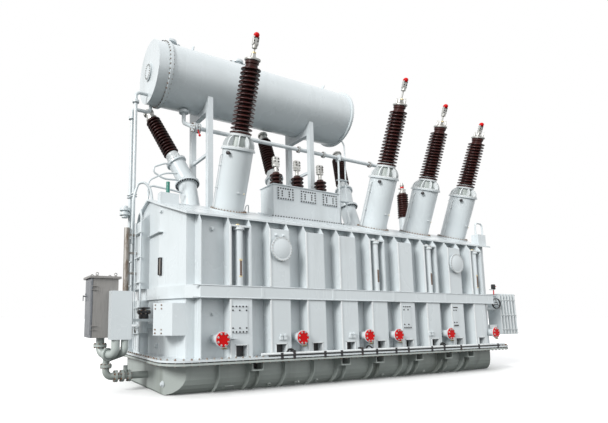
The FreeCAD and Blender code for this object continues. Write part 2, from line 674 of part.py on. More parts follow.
def build_end_pipes():
    """Conservator drain and level pipes down the left end wall, with a header and a gate valve."""
    along = Vector(1, 0, 0)
    z = CONS_Z - CONS_R - 160
    shell = cylinder((CONS_LEFT, CONS_Y, CONS_Z), along, CONS_R + 0.3, CONS_LENGTH)
    drain = pipe([(DRAIN_X, DRAIN_Y, END_PIPE_Z), (DRAIN_X, DRAIN_Y, z), (DRAIN_TOP_X, DRAIN_Y, z),
                  (DRAIN_TOP_X, DRAIN_Y, CONS_Z - 400)], END_PIPE_R, 120)
    drain_foot = cylinder((DRAIN_X, DRAIN_Y, END_PIPE_Z + 60), along, 40, -HALF_L - DRAIN_X + TANK_BEVEL_X)
    relief = [cylinder((DRAIN_X - 150, DRAIN_Y - 60, RELIEF_Z), UP, RELIEF_R - 50, 300),
              cylinder((DRAIN_X - 150, DRAIN_Y - 60, RELIEF_Z + 60), UP, RELIEF_R, 60),
              cylinder((DRAIN_X - 150, DRAIN_Y - 60, RELIEF_Z + 180), UP, RELIEF_R, 60),
              cylinder((DRAIN_X - 150, DRAIN_Y - 60, RELIEF_Z + 150), (150, 60, 0), 40, 160)]
    drain_ring = cylinder((DRAIN_X, DRAIN_Y, z - 300), UP, END_PIPE_R * 2, 60)
    drain = joined([drain, drain_foot, drain_ring] + relief).cut([shell, tank_plan(BELL_BOTTOM, RIM_Z)])
    level_z = z + 400
    level = pipe([(LEVEL_X, LEVEL_Y, END_PIPE_Z), (LEVEL_X, LEVEL_Y, level_z),
                  (CONS_LEFT, LEVEL_Y, level_z)], END_PIPE_R, 120)
    level_foot = cylinder((LEVEL_X, LEVEL_Y, END_PIPE_Z + 60), along, 40, -HALF_L - LEVEL_X + TANK_BEVEL_X)
    level_ring = cylinder((LEVEL_X, LEVEL_Y, level_z - 300), UP, END_PIPE_R * 2, 60)
    header = cylinder((LEVEL_X, VALVE_Y, VALVE_Z), Vector(0, 1, 0), 38, LEVEL_Y - VALVE_Y)
    stub = cylinder((LEVEL_X, VALVE_Y, VALVE_Z), along, 60, -HALF_L - LEVEL_X)
    bonnet = turned([(95, -140), (95, 120), (50, 130), (50, 300), (150, 305), (150, 340), (30, 345),
                     (30, 460)], (LEVEL_X, VALVE_Y, VALVE_Z), UP)
    level = joined([level, level_foot, level_ring, header, stub, bonnet])
    return group([drain, level.cut(tank_plan(BELL_BOTTOM, RIM_Z))])


def build_cable_conduit():
    face = -HALF_L - END_BOX_DEPTH
    run = pipe([(face, CONDUIT_Y, 1250), (CONDUIT_X, CONDUIT_Y, 1250),
                (CONDUIT_X, CONDUIT_Y, RIM_Z + 50)], CONDUIT_R, 150)
    clamps = [box(CONDUIT_X, face, CONDUIT_Y - 30, CONDUIT_Y + 30, RIM_Z - drop, RIM_Z - drop + 50)
              for drop in (150, 600, 1100)]
    return joined([run] + clamps)


# ---------------------------------------------------------------- control cabinet
CAB_GAP = 1030               # end wall to the cabinet
CAB_DEPTH = 510
CAB_X1 = -HALF_L - CAB_GAP
CAB_X0 = CAB_X1 - CAB_DEPTH
CAB_Y0 = -1150
CAB_Y1 = -550
CAB_Z0 = 1185
CAB_Z1 = 2380
CAB_SHEET = 12
CAB_ROOF = 45
CAB_EAVES = 50
DOOR = 30
DOOR_GAP = 6
HINGE_PIN_R = 8
HINGE_PLAY = 0.05
HINGE_KNUCKLE_R = 14
HINGE_KNUCKLE = 60
HINGE_LUG = 12
HINGE_Z_GAP = 2
HINGE_IN_X = 10              # hinge axis behind the door's outer face
HINGE_OUT_Y = 16             # hinge axis in front of the cabinet's front wall
HINGE_INSET_Z = 200          # hinge middle from the cabinet's floor and roof
HANDLE_R = 14


def build_cabinet():
    """Outdoor cabinet with a hinged door on its left side."""
    outer = box(CAB_X0, CAB_X1, CAB_Y0, CAB_Y1, CAB_Z0, CAB_Z1)
    inner = box(CAB_X0 - 1, CAB_X1 - CAB_SHEET, CAB_Y0 + CAB_SHEET, CAB_Y1 - CAB_SHEET,
                CAB_Z0 + CAB_SHEET, CAB_Z1 - CAB_SHEET)
    roof = box(CAB_X0 - CAB_EAVES - DOOR, CAB_X1 + CAB_EAVES, CAB_Y0 - CAB_EAVES, CAB_Y1 + CAB_EAVES,
               CAB_Z1, CAB_Z1 + CAB_ROOF)
    face = CAB_X0 - DOOR_GAP - DOOR
    leaf = box(face, face + DOOR, CAB_Y0, CAB_Y1, CAB_Z0, CAB_Z1 - DOOR_GAP)
    handle = cylinder((face - 50, CAB_Y1 - 60, (CAB_Z0 + CAB_Z1) / 2 + 250), Vector(1, 0, 0), HANDLE_R, 50)
    grip = box(face - 62, face - 50, CAB_Y1 - 75, CAB_Y1 - 45, (CAB_Z0 + CAB_Z1) / 2 + 150,
               (CAB_Z0 + CAB_Z1) / 2 + 265)
    body = [outer.cut(inner)]
    door = [leaf, handle, grip]
    holes = []
    hx = face + HINGE_IN_X
    hy = CAB_Y0 - HINGE_OUT_Y
    r = HINGE_KNUCKLE_R
    for z in (CAB_Z0 + HINGE_INSET_Z, CAB_Z1 - HINGE_INSET_Z):
        low = z - HINGE_KNUCKLE / 2
        high = z + HINGE_KNUCKLE / 2
        door.append(cylinder((hx, hy, low), UP, r, HINGE_KNUCKLE))
        door.append(box(hx - 6, hx + 6, hy, CAB_Y0, low, high))
        holes.append(cylinder((hx, hy, low - 1), UP, HINGE_PIN_R + HINGE_PLAY, HINGE_KNUCKLE + 2))
        for lug_z in (low - HINGE_Z_GAP - HINGE_LUG, high + HINGE_Z_GAP):
            body.append(cylinder((hx, hy, lug_z), UP, r, HINGE_LUG))
            body.append(box(hx, CAB_X0 + 80, hy - r, hy + r - 3, lug_z, lug_z + HINGE_LUG))
            body.append(box(CAB_X0 + 10, CAB_X0 + 80, hy - r, CAB_Y0, lug_z, lug_z + HINGE_LUG))
        body.append(cylinder((hx, hy, low - HINGE_Z_GAP - HINGE_LUG), UP, HINGE_PIN_R,
                             HINGE_KNUCKLE + 2 * (HINGE_LUG + HINGE_Z_GAP)))
    bracket = box(CAB_X1, -HALF_L, CAB_Y1 - 130, CAB_Y1 - 10, 1500, 1560)
    return joined(body), roof, joined(door).cut(holes), bracket


# ---------------------------------------------------------------- boxes and cable conduits
JUNCTION_X = (CAB_X1 - 190, CAB_X1 + 245)
JUNCTION_DEPTH = 200
JUNCTION_Z = (1150, 2125)
CORNER_BOX_Z = (1225, 1885)
CORNER_BOX_EDGE = 54         # nearest edge beyond the end wall
CORNER_BOX_FACE = 303        # run of its 45 degree face
HOSE_R = 85
FEED_R = 75
FEED_Z = 330


def build_terminal_boxes():
    """Junction box in front of the cabinet, and the bolted box at the tank's front left corner."""
    junction = box(JUNCTION_X[0], JUNCTION_X[1], CAB_Y0 - JUNCTION_DEPTH, CAB_Y0, *JUNCTION_Z)
    edge_x = -HALF_L - CORNER_BOX_EDGE
    plan = [(edge_x, -HALF_W), (-HALF_L + TANK_BEVEL_X, -HALF_W), (-HALF_L + 70, -HALF_W + 730),
            (edge_x - CORNER_BOX_FACE, -HALF_W + CORNER_BOX_FACE)]
    corner = prism(plan, *CORNER_BOX_Z).cut(tank_plan(*CORNER_BOX_Z))
    return group([junction, corner])


def build_cabinet_conduits():
    """Hose from the cabinet's floor to the junction box, and the feed from there to the tub."""
    y = CAB_Y0 - JUNCTION_DEPTH / 2
    floor_x = CAB_X1 - 270
    hose_x = JUNCTION_X[0] + 135
    feed_x = JUNCTION_X[0] + 320
    low = CAB_Z0 - 335
    hose = pipe([(floor_x, CAB_Y1 - 300, CAB_Z0), (floor_x, CAB_Y1 - 300, low), (hose_x, y, low),
                 (hose_x, y, JUNCTION_Z[0])], HOSE_R, 140)
    collar = cylinder((floor_x, CAB_Y1 - 300, CAB_Z0 - 190), UP, HOSE_R + 50, 50)
    coupling = cylinder((floor_x + 90, CAB_Y1 - 467, low), (hose_x - floor_x, y - CAB_Y1 + 300, 0),
                        HOSE_R + 45, 60)
    turn_x = CAB_X1 - 40
    feed = pipe([(feed_x, y, JUNCTION_Z[0]), (feed_x, y, CAB_Z0 - 285), (turn_x, VALVE_Y, 700),
                 (turn_x, VALVE_Y, FEED_Z), (-TUB_HALF, VALVE_Y, FEED_Z)], FEED_R, 130)
    rings = [cylinder((turn_x, VALVE_Y, 530), UP, FEED_R + 50, 50)]
    for x in (turn_x + 190, turn_x + 330, turn_x + 480):
        rings.append(cylinder((x, VALVE_Y, FEED_Z), Vector(1, 0, 0), FEED_R + 50, 50))
    rings.append(cylinder((turn_x + 430, VALVE_Y, FEED_Z), UP, 45, 220))
    return group([joined([hose, collar, coupling]), joined([feed] + rings)])


COOLER_Y = (-HALF_W, -HALF_W + 400)
COOLER_Z = (1060, 2330)
COOLER_FIRST = 420           # end wall to the first fin
COOLER_PITCH = 158
COOLER_FINS = 6
COOLER_FIN = 46
COOLER_LEAN = 45             # each fin leans outwards by this much towards its foot
COOLER_HEADER_R = 50
COOLER_HEADER_Z = (1200, 1850)


def build_cooler():
    """Small fin cooler on the right end wall."""
    z0, z1 = COOLER_Z
    y0, y1 = COOLER_Y
    pieces = []
    for i in range(COOLER_FINS):
        x = HALF_L + COOLER_FIRST + i * COOLER_PITCH
        lean = COOLER_LEAN
        pieces.append(section_y([(x + lean, z0), (x + lean + COOLER_FIN, z0), (x + COOLER_FIN, z1),
                                 (x, z1)], y0, y1))
    end = HALF_L + COOLER_FIRST + (COOLER_FINS - 1) * COOLER_PITCH + COOLER_FIN
    start = HALF_L - TANK_BEVEL_X
    for z in COOLER_HEADER_Z:
        pieces.append(cylinder((start, (y0 + y1) / 2, z), Vector(1, 0, 0), COOLER_HEADER_R, end - start))
    return joined(pieces).cut(tank_plan(BELL_BOTTOM, RIM_Z))


COVER_BOX_LEFT = ((50, 520), (-600, -400), 264)      # from the left end wall, y, rise above the cover
COVER_BOX_RIGHT = ((540, 170), (-1780, -1560), 330)  # from the right end wall, y, rise above the cover
BREATHER_R = 45
BREATHER_LENGTH = 290


def build_cover_boxes():
    """Small marshalling box at each end of the cover, the right one with its conduit loop."""
    (near, far), (y0, y1), rise = COVER_BOX_LEFT
    left_top = roof_top(y0) + rise
    left = box(-HALF_L + near, -HALF_L + far, y0, y1, RIM_Z, left_top)
    (far, near), (y2, y3), rise = COVER_BOX_RIGHT
    right_top = roof_top(y2) + rise
    right = box(HALF_L - far, HALF_L - near, y2, y3, RIM_Z, right_top)
    loop_y = (y2 + y3) / 2
    loop_top = right_top + 380
    loop = pipe([(HALF_L - far + 60, loop_y, right_top - 60), (HALF_L - far + 60, loop_y, loop_top),
                 (HALF_L - near + 30, loop_y, loop_top), (HALF_L - near + 30, loop_y, RIM_Z)], 24, 110)
    under = section_x(roof_profile(COVER_RISE), -HALF_L - 200, HALF_L + 200)
    breather = cylinder((-HALF_L + 270, (y0 + y1) / 2, left_top), UP, BREATHER_R, BREATHER_LENGTH)
    return group([left.cut(under), joined([right, loop]).cut(under)]), breather


# ---------------------------------------------------------------- assembly
def build_all():
    parts["lower_tank"] = build_lower_tank()
    parts["lower_tank_ribs"] = build_tub_ribs()
    parts["jacking_pads"] = build_jacking_pads()
    parts["lower_flange"], parts["flange_gasket"], parts["upper_flange"] = build_flanges()
    parts["upper_tank"] = build_upper_tank()
    parts["tank_cover"] = build_cover()
    parts["belt_band"] = build_belt_band()
    upper, lower = build_stiffeners()
    parts["front_upper_stiffeners"] = group(front_upper_stiffeners(upper))
    parts["front_lower_stiffeners"] = group(lower)
    parts["back_upper_stiffeners"] = group([mirrored_y(s) for s in upper])
    parts["back_lower_stiffeners"] = group([mirrored_y(s) for s in lower])
    parts["end_upper_stiffeners"] = build_end_stiffeners(BAND_TOP, None)
    parts["end_lower_stiffeners"] = build_end_stiffeners(BELL_BOTTOM, BAND_BOTTOM)
    parts["manhole_covers"] = build_manholes()
    parts["riser_columns"] = build_risers()
    parts["valve_stubs"], parts["stub_blanks"] = build_valve_stubs()
    for number, placing in enumerate(hv_places(), 1):
        turret, bushing = build_hv(*placing)
        parts["hv_turret_%d" % number] = turret
        parts["hv_bushing_%d" % number] = bushing
    for number, placing in enumerate(MV_SET, 1):
        turret, bushing = build_mv(*placing)
        parts["mv_turret_%d" % number] = turret
        parts["mv_bushing_%d" % number] = bushing
    parts["neutral_pedestal"], parts["neutral_bushing"] = build_neutral()
    parts["lv_box"], parts["lv_box_lid"], parts["lv_inspection_plates"] = build_lv_box()
    for number, x in enumerate(LV_BUSHING_X, 1):
        parts["lv_bushing_%d" % number] = build_lv_bushing(x)
    (parts["conservator_shell"], parts["conservator_left_end"],
     parts["conservator_right_end"]) = build_conservator()
    for number, x in enumerate(SUPPORT_X, 1):
        parts["conservator_support_%d" % number] = build_support(x)
    parts["gas_pipe"] = build_gas_pipe()
    parts["end_pipes"] = build_end_pipes()
    parts["cable_conduit"] = build_cable_conduit()
    (parts["cabinet_body"], parts["cabinet_roof"], parts["cabinet_door"],
     parts["cabinet_bracket"]) = build_cabinet()
    parts["terminal_boxes"] = build_terminal_boxes()
    parts["cabinet_conduits"] = build_cabinet_conduits()
    parts["cooler"] = build_cooler()
    parts["cover_boxes"], parts["breather"] = build_cover_boxes()


build_all()
os.makedirs("parts", exist_ok=True)
for name, shape in parts.items():
    shape.exportStep("parts/%s.step" % name)
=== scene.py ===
# %% [markdown]
# # An oil-filled power transformer
# The frame holds the steelwork at its real size. This lesson gives every surface its finish and adds what
# the steelwork leaves plain: the porcelain sheds of the bushings, the rows of bolts, the cover plates,
# valves, clamps and cables. Lengths are in metres, +X runs along the tank, -Y is the high-voltage side.

# %% Load the frame
import json
import math

import bmesh
import bpy
from mathutils import Matrix, Vector


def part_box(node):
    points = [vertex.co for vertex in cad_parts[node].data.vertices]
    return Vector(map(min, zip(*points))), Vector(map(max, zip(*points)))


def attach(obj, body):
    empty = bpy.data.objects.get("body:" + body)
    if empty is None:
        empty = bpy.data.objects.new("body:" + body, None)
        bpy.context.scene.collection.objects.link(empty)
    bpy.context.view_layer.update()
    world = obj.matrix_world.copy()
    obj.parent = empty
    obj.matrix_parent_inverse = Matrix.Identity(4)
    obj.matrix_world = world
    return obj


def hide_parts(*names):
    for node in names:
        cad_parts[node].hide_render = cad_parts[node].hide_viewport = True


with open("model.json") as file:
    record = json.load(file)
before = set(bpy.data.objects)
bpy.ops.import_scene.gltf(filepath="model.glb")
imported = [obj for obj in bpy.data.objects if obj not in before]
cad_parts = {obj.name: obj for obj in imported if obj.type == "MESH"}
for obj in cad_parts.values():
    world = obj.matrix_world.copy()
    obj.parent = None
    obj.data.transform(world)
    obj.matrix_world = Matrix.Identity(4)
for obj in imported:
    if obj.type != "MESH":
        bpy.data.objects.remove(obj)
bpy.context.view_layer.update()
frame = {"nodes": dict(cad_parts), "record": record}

MAIN = "transformer"
DOOR = "cabinet_door"
UP = Vector((0, 0, 1))
ALONG = Vector((1, 0, 0))
OUT = Vector((0, -1, 0))
LEFT = -ALONG
HERE = Matrix.Identity(4)
shift = Matrix.Translation
print("loaded", len(frame["nodes"]), "nodes")

# %% [markdown]
# ## Node trees written as Python
# A finish is a small program of nodes. `Graph` adds a node in one way only: its type, then its settings,
# then the values or links of its sockets. `Value` wraps an output socket, so that a sum such as
# `1 - mask * 0.5` adds its own Math nodes.


# %% Graph and Value
class Value:
    """An output socket that takes part in sums."""

    def __init__(self, graph, socket):
        self.graph = graph
        self.socket = socket

    def sum_with(self, operation, first, second):
        node = self.graph.node("ShaderNodeMath", {"operation": operation}, {0: first, 1: second})
        return Value(self.graph, node.outputs[0])

    def __add__(self, other):
        return self.sum_with("ADD", self, other)

    def __mul__(self, other):
        return self.sum_with("MULTIPLY", self, other)

    def __sub__(self, other):
        return self.sum_with("SUBTRACT", self, other)

    def __rsub__(self, other):
        return self.sum_with("SUBTRACT", other, self)

    __radd__ = __add__
    __rmul__ = __mul__

    def held(self):
        """The value kept between 0 and 1."""
        node = self.graph.node("ShaderNodeClamp", {}, {"Value": self})
        return Value(self.graph, node.outputs[0])


class Graph:
    """A node tree with one way to add a node."""

    def __init__(self, tree):
        self.tree = tree

    def node(self, kind, settings=None, inputs=None):
        made = self.tree.nodes.new(kind)
        for name, value in (settings or {}).items():
            if name == "stops":
                ramp = made.color_ramp.elements
                while len(ramp) < len(value):
                    ramp.new(0.5)
                for stop, (place, colour) in zip(ramp, value):
                    stop.position = place
                    stop.color = colour
            else:
                setattr(made, name, value)
        for name, value in (inputs or {}).items():
            if isinstance(value, Value):
                self.tree.links.new(value.socket, made.inputs[name])
            elif isinstance(value, bpy.types.NodeSocket):
                self.tree.links.new(value, made.inputs[name])
            else:
                made.inputs[name].default_value = value
        return made

    def value(self, kind, settings=None, inputs=None, out=0):
        return Value(self, self.node(kind, settings, inputs).outputs[out])


print("node trees can be written as sums")


# %% [markdown]
# ## Paint, porcelain and metal
# All patterns read Object coordinates, in metres, so a stain 0.3 m long is that long on every piece.
# Tank paint is a semi-gloss enamel. It is never one flat colour: rain leaves faint upright streaks, the
# paint turns darker towards the ground, and the plate under it is slightly wavy, which bends the highlights.


# %% Pattern helpers
def object_point(graph, scale=(1, 1, 1)):
    """Object coordinates stretched by scale."""
    place = graph.node("ShaderNodeTexCoord")
    return graph.value("ShaderNodeMapping", {}, {"Vector": place.outputs["Object"], "Scale": scale})


def noise(graph, scale, detail=3.0, stretch=(1, 1, 1), roughness=0.55):
    point = object_point(graph, stretch)
    return graph.value("ShaderNodeTexNoise", {}, {"Vector": point, "Scale": scale, "Detail": detail,
                                                  "Roughness": roughness})


def step_between(graph, value, low, high, smooth=True):
    """0 below low, 1 above high."""
    how = "SMOOTHSTEP" if smooth else "LINEAR"
    return graph.value("ShaderNodeMapRange", {"interpolation_type": how},
                       {"Value": value, "From Min": low, "From Max": high})


def blend(graph, share, first, second):
    """Colour mix; each colour is a tuple or a Value."""
    return graph.value("ShaderNodeMix", {"data_type": "RGBA"},
                       {"Factor": share, 6: first, 7: second}, out=2)


def new_material(name):
    material = bpy.data.materials.new(name)
    material.use_nodes = True
    graph = Graph(material.node_tree)
    shader = material.node_tree.nodes["Principled BSDF"]
    return material, graph, shader


def bump(graph, shader, height, distance, strength=1.0):
    made = graph.value("ShaderNodeBump", {}, {"Height": height, "Distance": distance, "Strength": strength})
    graph.tree.links.new(made.socket, shader.inputs["Normal"])


def feed(graph, shader, **sockets):
    for name, value in sockets.items():
        socket = shader.inputs[name.replace("_", " ")]
        if isinstance(value, Value):
            graph.tree.links.new(value.socket, socket)
        else:
            socket.default_value = value


print("pattern helpers ready")


# %% Enamel paint
def enamel(name, colour, grime_colour, grime, wave, rough=0.27, low_darkening=0.0, rust=0.0, shine=0.5):
    """Sprayed enamel on steel plate, with streaks, darker towards the ground, and a few rust runs."""
    material, graph, shader = new_material(name)
    cloud = noise(graph, 0.55, 4.0)
    streak = noise(graph, 2.2, 5.0, (1.0, 1.0, 0.10), 0.6)
    speck = noise(graph, 26.0, 3.0)
    stain = (step_between(graph, streak, 0.50, 0.78) * 0.6 + step_between(graph, cloud, 0.46, 0.72) * 0.4)
    height = graph.value("ShaderNodeSeparateXYZ", {}, {"Vector": object_point(graph)}, out=2)
    # The paint turns darker towards the ground, below about 1.1 m.
    foot = 1 - step_between(graph, height, 0.0, 1.1)
    share = (stain * grime + foot * low_darkening * (speck * 0.5 + 0.6)).held()
    paint = blend(graph, share, (*colour, 1), (*grime_colour, 1))
    if rust:
        run = step_between(graph, noise(graph, 7.0, 6.0, (1.0, 1.0, 0.16), 0.7), 0.67, 0.76) * rust
        paint = blend(graph, run.held(), paint, (0.20, 0.085, 0.03, 1))
    feed(graph, shader, Base_Color=paint, Roughness=(share * 0.25 + rough).held())
    feed(graph, shader, Specular_IOR_Level=shine, Coat_Weight=shine * 0.2, Coat_Roughness=0.2)
    bump(graph, shader, noise(graph, 1.3, 0.6) * wave, 1.0)
    return material


PAINT = {
    "grey_paint": enamel("grey enamel", (0.55, 0.595, 0.615), (0.36, 0.39, 0.395), 0.45, 0.010),
    "tub_grey_paint": enamel("tub enamel", (0.36, 0.40, 0.385), (0.15, 0.165, 0.145), 0.75, 0.012, 0.4,
                             low_darkening=0.35, rust=0.5),
    "white_paint": enamel("white enamel", (0.60, 0.63, 0.64), (0.38, 0.405, 0.41), 0.45, 0.004),
    "red_enamel": enamel("red enamel", (0.52, 0.001, 0.002), (0.33, 0.002, 0.003), 0.4, 0.002, 0.42,
                         shine=0.15),
}
print("enamels:", ", ".join(PAINT))


# %% [markdown]
# ## Brown glaze
# Porcelain is dipped in a dark brown glaze, glossy all over. Slow clouds of noise make it redder in places,
# as a glaze that has pooled unevenly, and a finer noise leaves a thin film of dust.


# %% Glazed porcelain
def glazed():
    material, graph, shader = new_material("brown glaze")
    patch = noise(graph, 9.0, 3.0)
    film = step_between(graph, noise(graph, 3.5, 4.0), 0.45, 0.8)
    deep = blend(graph, patch, (0.016, 0.003, 0.0026, 1), (0.050, 0.010, 0.008, 1))
    feed(graph, shader, Base_Color=blend(graph, film * 0.25, deep, (0.12, 0.04, 0.03, 1)),
         Roughness=(patch * 0.12 + film * 0.10 + 0.24).held())
    feed(graph, shader, Coat_Weight=0.0, Specular_IOR_Level=0.30)
    bump(graph, shader, noise(graph, 30.0, 2.0) * 0.0006, 1.0)
    return material


PAINT["brown_porcelain"] = glazed()
print("glaze mixed")


# %% [markdown]
# ## Bare metal, rust and rubber
# Terminals are bare aluminium, flange bolts are zinc plated steel that has begun to rust, and the control
# cabinet is brushed stainless sheet. Each is a small variation of the same idea: a noise chooses between
# clean and aged colour, and the same noise roughens the surface.


# %% Metals and rubber
def metal(name, clean, aged, share, rough, metallic=1.0, grain=(1, 1, 1), scale=14.0, relief=0.0008):
    material, graph, shader = new_material(name)
    wear = noise(graph, scale, 5.0, grain, 0.65)
    aged_share = step_between(graph, wear, 0.62 - share * 0.3, 0.82 - share * 0.3)
    feed(graph, shader, Base_Color=blend(graph, aged_share, (*clean, 1), (*aged, 1)),
         Roughness=(aged_share * 0.3 + rough).held(), Metallic=(1 - aged_share * 0.6) * metallic)
    bump(graph, shader, wear * relief, 1.0)
    return material


PAINT.update({
    "aluminium": metal("cast aluminium", (0.50, 0.50, 0.48), (0.26, 0.25, 0.23), 0.45, 0.38, 0.7),
    "rusty_bolt": metal("rusting bolt steel", (0.34, 0.31, 0.28), (0.19, 0.085, 0.035), 0.62, 0.5, 0.8,
                        scale=5.0),
    "plated_bolt": metal("plated bolt steel", (0.55, 0.56, 0.55), (0.33, 0.30, 0.27), 0.35, 0.38, 0.9,
                         scale=5.0),
    "cabinet_steel": metal("brushed stainless", (0.25, 0.243, 0.233), (0.19, 0.185, 0.18), 0.45, 0.42,
                           0.45, (1, 1, 0.05), 60.0, 0.0002),
    # The door takes a darker copy of the brushed stainless: painted shade.
    "cabinet_door_shaded_steel": metal("shaded stainless", (0.15, 0.16, 0.175), (0.10, 0.105, 0.12), 0.5, 0.30,
                                0.55, (1, 1, 0.05), 60.0, 0.0002),
    "aged_pipe": metal("weathered conduit", (0.30, 0.285, 0.265), (0.15, 0.11, 0.08), 0.6, 0.5, 0.5,
                       (1, 1, 0.3), 9.0),
    "dark_steel": metal("dark steel", (0.045, 0.045, 0.048), (0.09, 0.06, 0.045), 0.3, 0.45, 0.5),
    "brass": metal("dull brass", (0.62, 0.52, 0.30), (0.36, 0.30, 0.20), 0.3, 0.35),
    "black_rubber": metal("black rubber", (0.012, 0.012, 0.013), (0.035, 0.033, 0.03), 0.3, 0.6, 0.0),
    "green_plastic": metal("green plastic", (0.01, 0.16, 0.12), (0.01, 0.10, 0.08), 0.3, 0.25, 0.0),
    "cream_plastic": metal("cream plastic", (0.72, 0.66, 0.50), (0.60, 0.54, 0.40), 0.3, 0.35, 0.0),
    "gauge_glass": metal("brown sight glass", (0.10, 0.055, 0.035), (0.16, 0.09, 0.06), 0.4, 0.12, 0.0),
})

# The cabinet door gets the darker stainless, which is painted shade.
OWN_FINISH = {"cabinet_door": "cabinet_door_shaded_steel", "cable_conduit": "aged_pipe",
              "cabinet_conduits": "tub_grey_paint"}
for row in frame["record"]["subparts"]:
    node = frame["nodes"][row["node"]]
    finish = OWN_FINISH.get(row["node"], row["material_slot"])
    node.data.materials.clear()
    node.data.materials.append(PAINT[finish])
print("finishes:", ", ".join(sorted(PAINT)))

# %% [markdown]
# ## Shapes
# `Shape` collects closed solids for one piece. A lathe turns a profile about an axis, a slab is a box with
# eased edges, and a tube follows points with rounded corners. Every solid is placed by a matrix whose Z
# is the axis, so the same code builds an upright stud and a leaning one.


# %% Placing helpers
def stand(base, axis=UP, side=ALONG):
    """Matrix with Z on the axis and X as near to side as it can be."""
    z = Vector(axis).normalized()
    x = Vector(side) - z * Vector(side).dot(z)
    if x.length < 0.01:
        x = UP - z * UP.dot(z)
    x.normalize()
    y = z.cross(x)
    turn = Matrix((x, y, z)).transposed().to_4x4()
    return shift(Vector(base)) @ turn


def ring_of(count, radius, height=0.0, start=0.0):
    """Points on a circle in a local frame."""
    for i in range(count):
        angle = start + 2 * math.pi * i / count
        yield Vector((radius * math.cos(angle), radius * math.sin(angle), height))


def linked(name, data):
    """A new object in the scene."""
    made = bpy.data.objects.new(name, data)
    bpy.context.scene.collection.objects.link(made)
    return made


def settled(name, data, body, smooth_angle):
    """Mesh data as a smooth piece that rides on its body."""
    data.shade_smooth()
    data.set_sharp_from_angle(angle=math.radians(smooth_angle))
    made = linked(name, data)
    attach(made, body)
    return made


def rounded(points, bend):
    """The points with each corner turned into a short arc."""
    path = [Vector(p) for p in points]
    smooth = [path[0]]
    for before, corner, after in zip(path, path[1:], path[2:]):
        back = before - corner
        ahead = after - corner
        reach = min(bend, back.length * 0.45, ahead.length * 0.45)
        start = corner + back.normalized() * reach
        end = corner + ahead.normalized() * reach
        for i in range(7):
            t = i / 6
            smooth.append(start * (1 - t) ** 2 + corner * 2 * t * (1 - t) + end * t ** 2)
    smooth.append(path[-1])
    return smooth


print("placing helpers ready")


# %% Solids for one piece
class Shape:
    """Closed solids collected for one piece; each method adds one and returns the shape."""

    def __init__(self):
        self.mesh = bmesh.new()

    def skin(self, outlines, capped=True):
        """Faces between neighbouring outlines, with flat ends or a closed round trip."""
        loops = [[self.mesh.verts.new(point) for point in outline] for outline in outlines]
        pairs = list(zip(loops, loops[1:]))
        if not capped:
            pairs.append((loops[-1], loops[0]))
        for low, high in pairs:
            for i in range(len(low)):
                j = (i + 1) % len(low)
                self.mesh.faces.new((low[i], low[j], high[j], high[i]))
        if capped:
            self.mesh.faces.new(loops[0][::-1])
            self.mesh.faces.new(loops[-1])
        return self

    def lathe(self, profile, place=HERE, segments=40, capped=True):
        """Profile of (radius, height) turned about Z, from bottom to top."""
        return self.skin([[place @ p for p in ring_of(segments, r, h)] for r, h in profile], capped)

    def ring(self, inner, outer, z0, z1, place=HERE, segments=40, ease=0.004):
        """Flat ring with eased outer edges."""
        section = [(inner, z0), (outer - ease, z0), (outer, z0 + ease), (outer, z1 - ease),
                   (outer - ease, z1), (inner, z1)]
        return self.lathe(section, place, segments, capped=False)

    def slab(self, low, high, place=HERE, ease=0.004):
        """Box between two corners, its upright edges and top edges eased."""
        (x0, y0, z0), (x1, y1, z1) = low, high
        e = min(ease, (x1 - x0) / 3, (y1 - y0) / 3, (z1 - z0) / 3)
        layers = []
        for z, inset in ((z0, e), (z0 + e, 0), (z1 - e, 0), (z1, e)):
            a, b, c, d = x0 + inset, x1 - inset, y0 + inset, y1 - inset
            outline = [(a + e, c), (b - e, c), (b, c + e), (b, d - e), (b - e, d), (a + e, d),
                       (a, d - e), (a, c + e)]
            layers.append([place @ Vector((x, y, z)) for x, y in outline])
        return self.skin(layers)

    def plate(self, outline, thickness, place=HERE):
        """Flat plate: outline in local X and Y, thickness along local Z."""
        return self.skin([[place @ Vector((x, y, z)) for x, y in outline] for z in (0, thickness)])

    def tube(self, points, radius, bend=0.08, segments=12, closed=False):
        """Round bar through the points, with rounded corners."""
        path = list(map(Vector, points)) if closed else rounded(points, bend)
        rings = []
        side = None
        count = len(path)
        for i, point in enumerate(path):
            before = path[i - 1] if closed or i else path[0]
            after = path[(i + 1) % count] if closed or i + 1 < count else path[-1]
            along = (after - before).normalized()
            if side is None:
                side = along.orthogonal().normalized()
            side = (side - along * side.dot(along)).normalized()
            rings.append([stand(point, along, side) @ q for q in ring_of(segments, radius)])
        return self.skin(rings, capped=not closed)

    def ball(self, radius, place, squash=1.0):
        steps = 12
        profile = [(radius * math.sin(math.pi * i / steps), -radius * squash * math.cos(math.pi * i / steps))
                   for i in range(1, steps)]
        return self.lathe(profile, place, 24)

    def data(self, name):
        """The solids as mesh data, faces outward."""
        made = bpy.data.meshes.new(name)
        bmesh.ops.recalc_face_normals(self.mesh, faces=self.mesh.faces)
        self.mesh.to_mesh(made)
        self.mesh.free()
        return made

    def piece(self, name, finish, body=MAIN, smooth_angle=35):
        """The finished object."""
        made = self.data(name)
        made.materials.append(PAINT[finish])
        return settled(name, made, body, smooth_angle)


print("a shape can add a lathe, ring, slab, plate, tube or ball")

# %% [markdown]
# ## Bolts from Geometry Nodes
# A transformer holds hundreds of bolts. Each row is a cloud of points that know which way is out. One tree
# puts a washer, a hexagon nut and the end of a stud on every point, spins each by a random amount, and
# realizes them into one mesh.


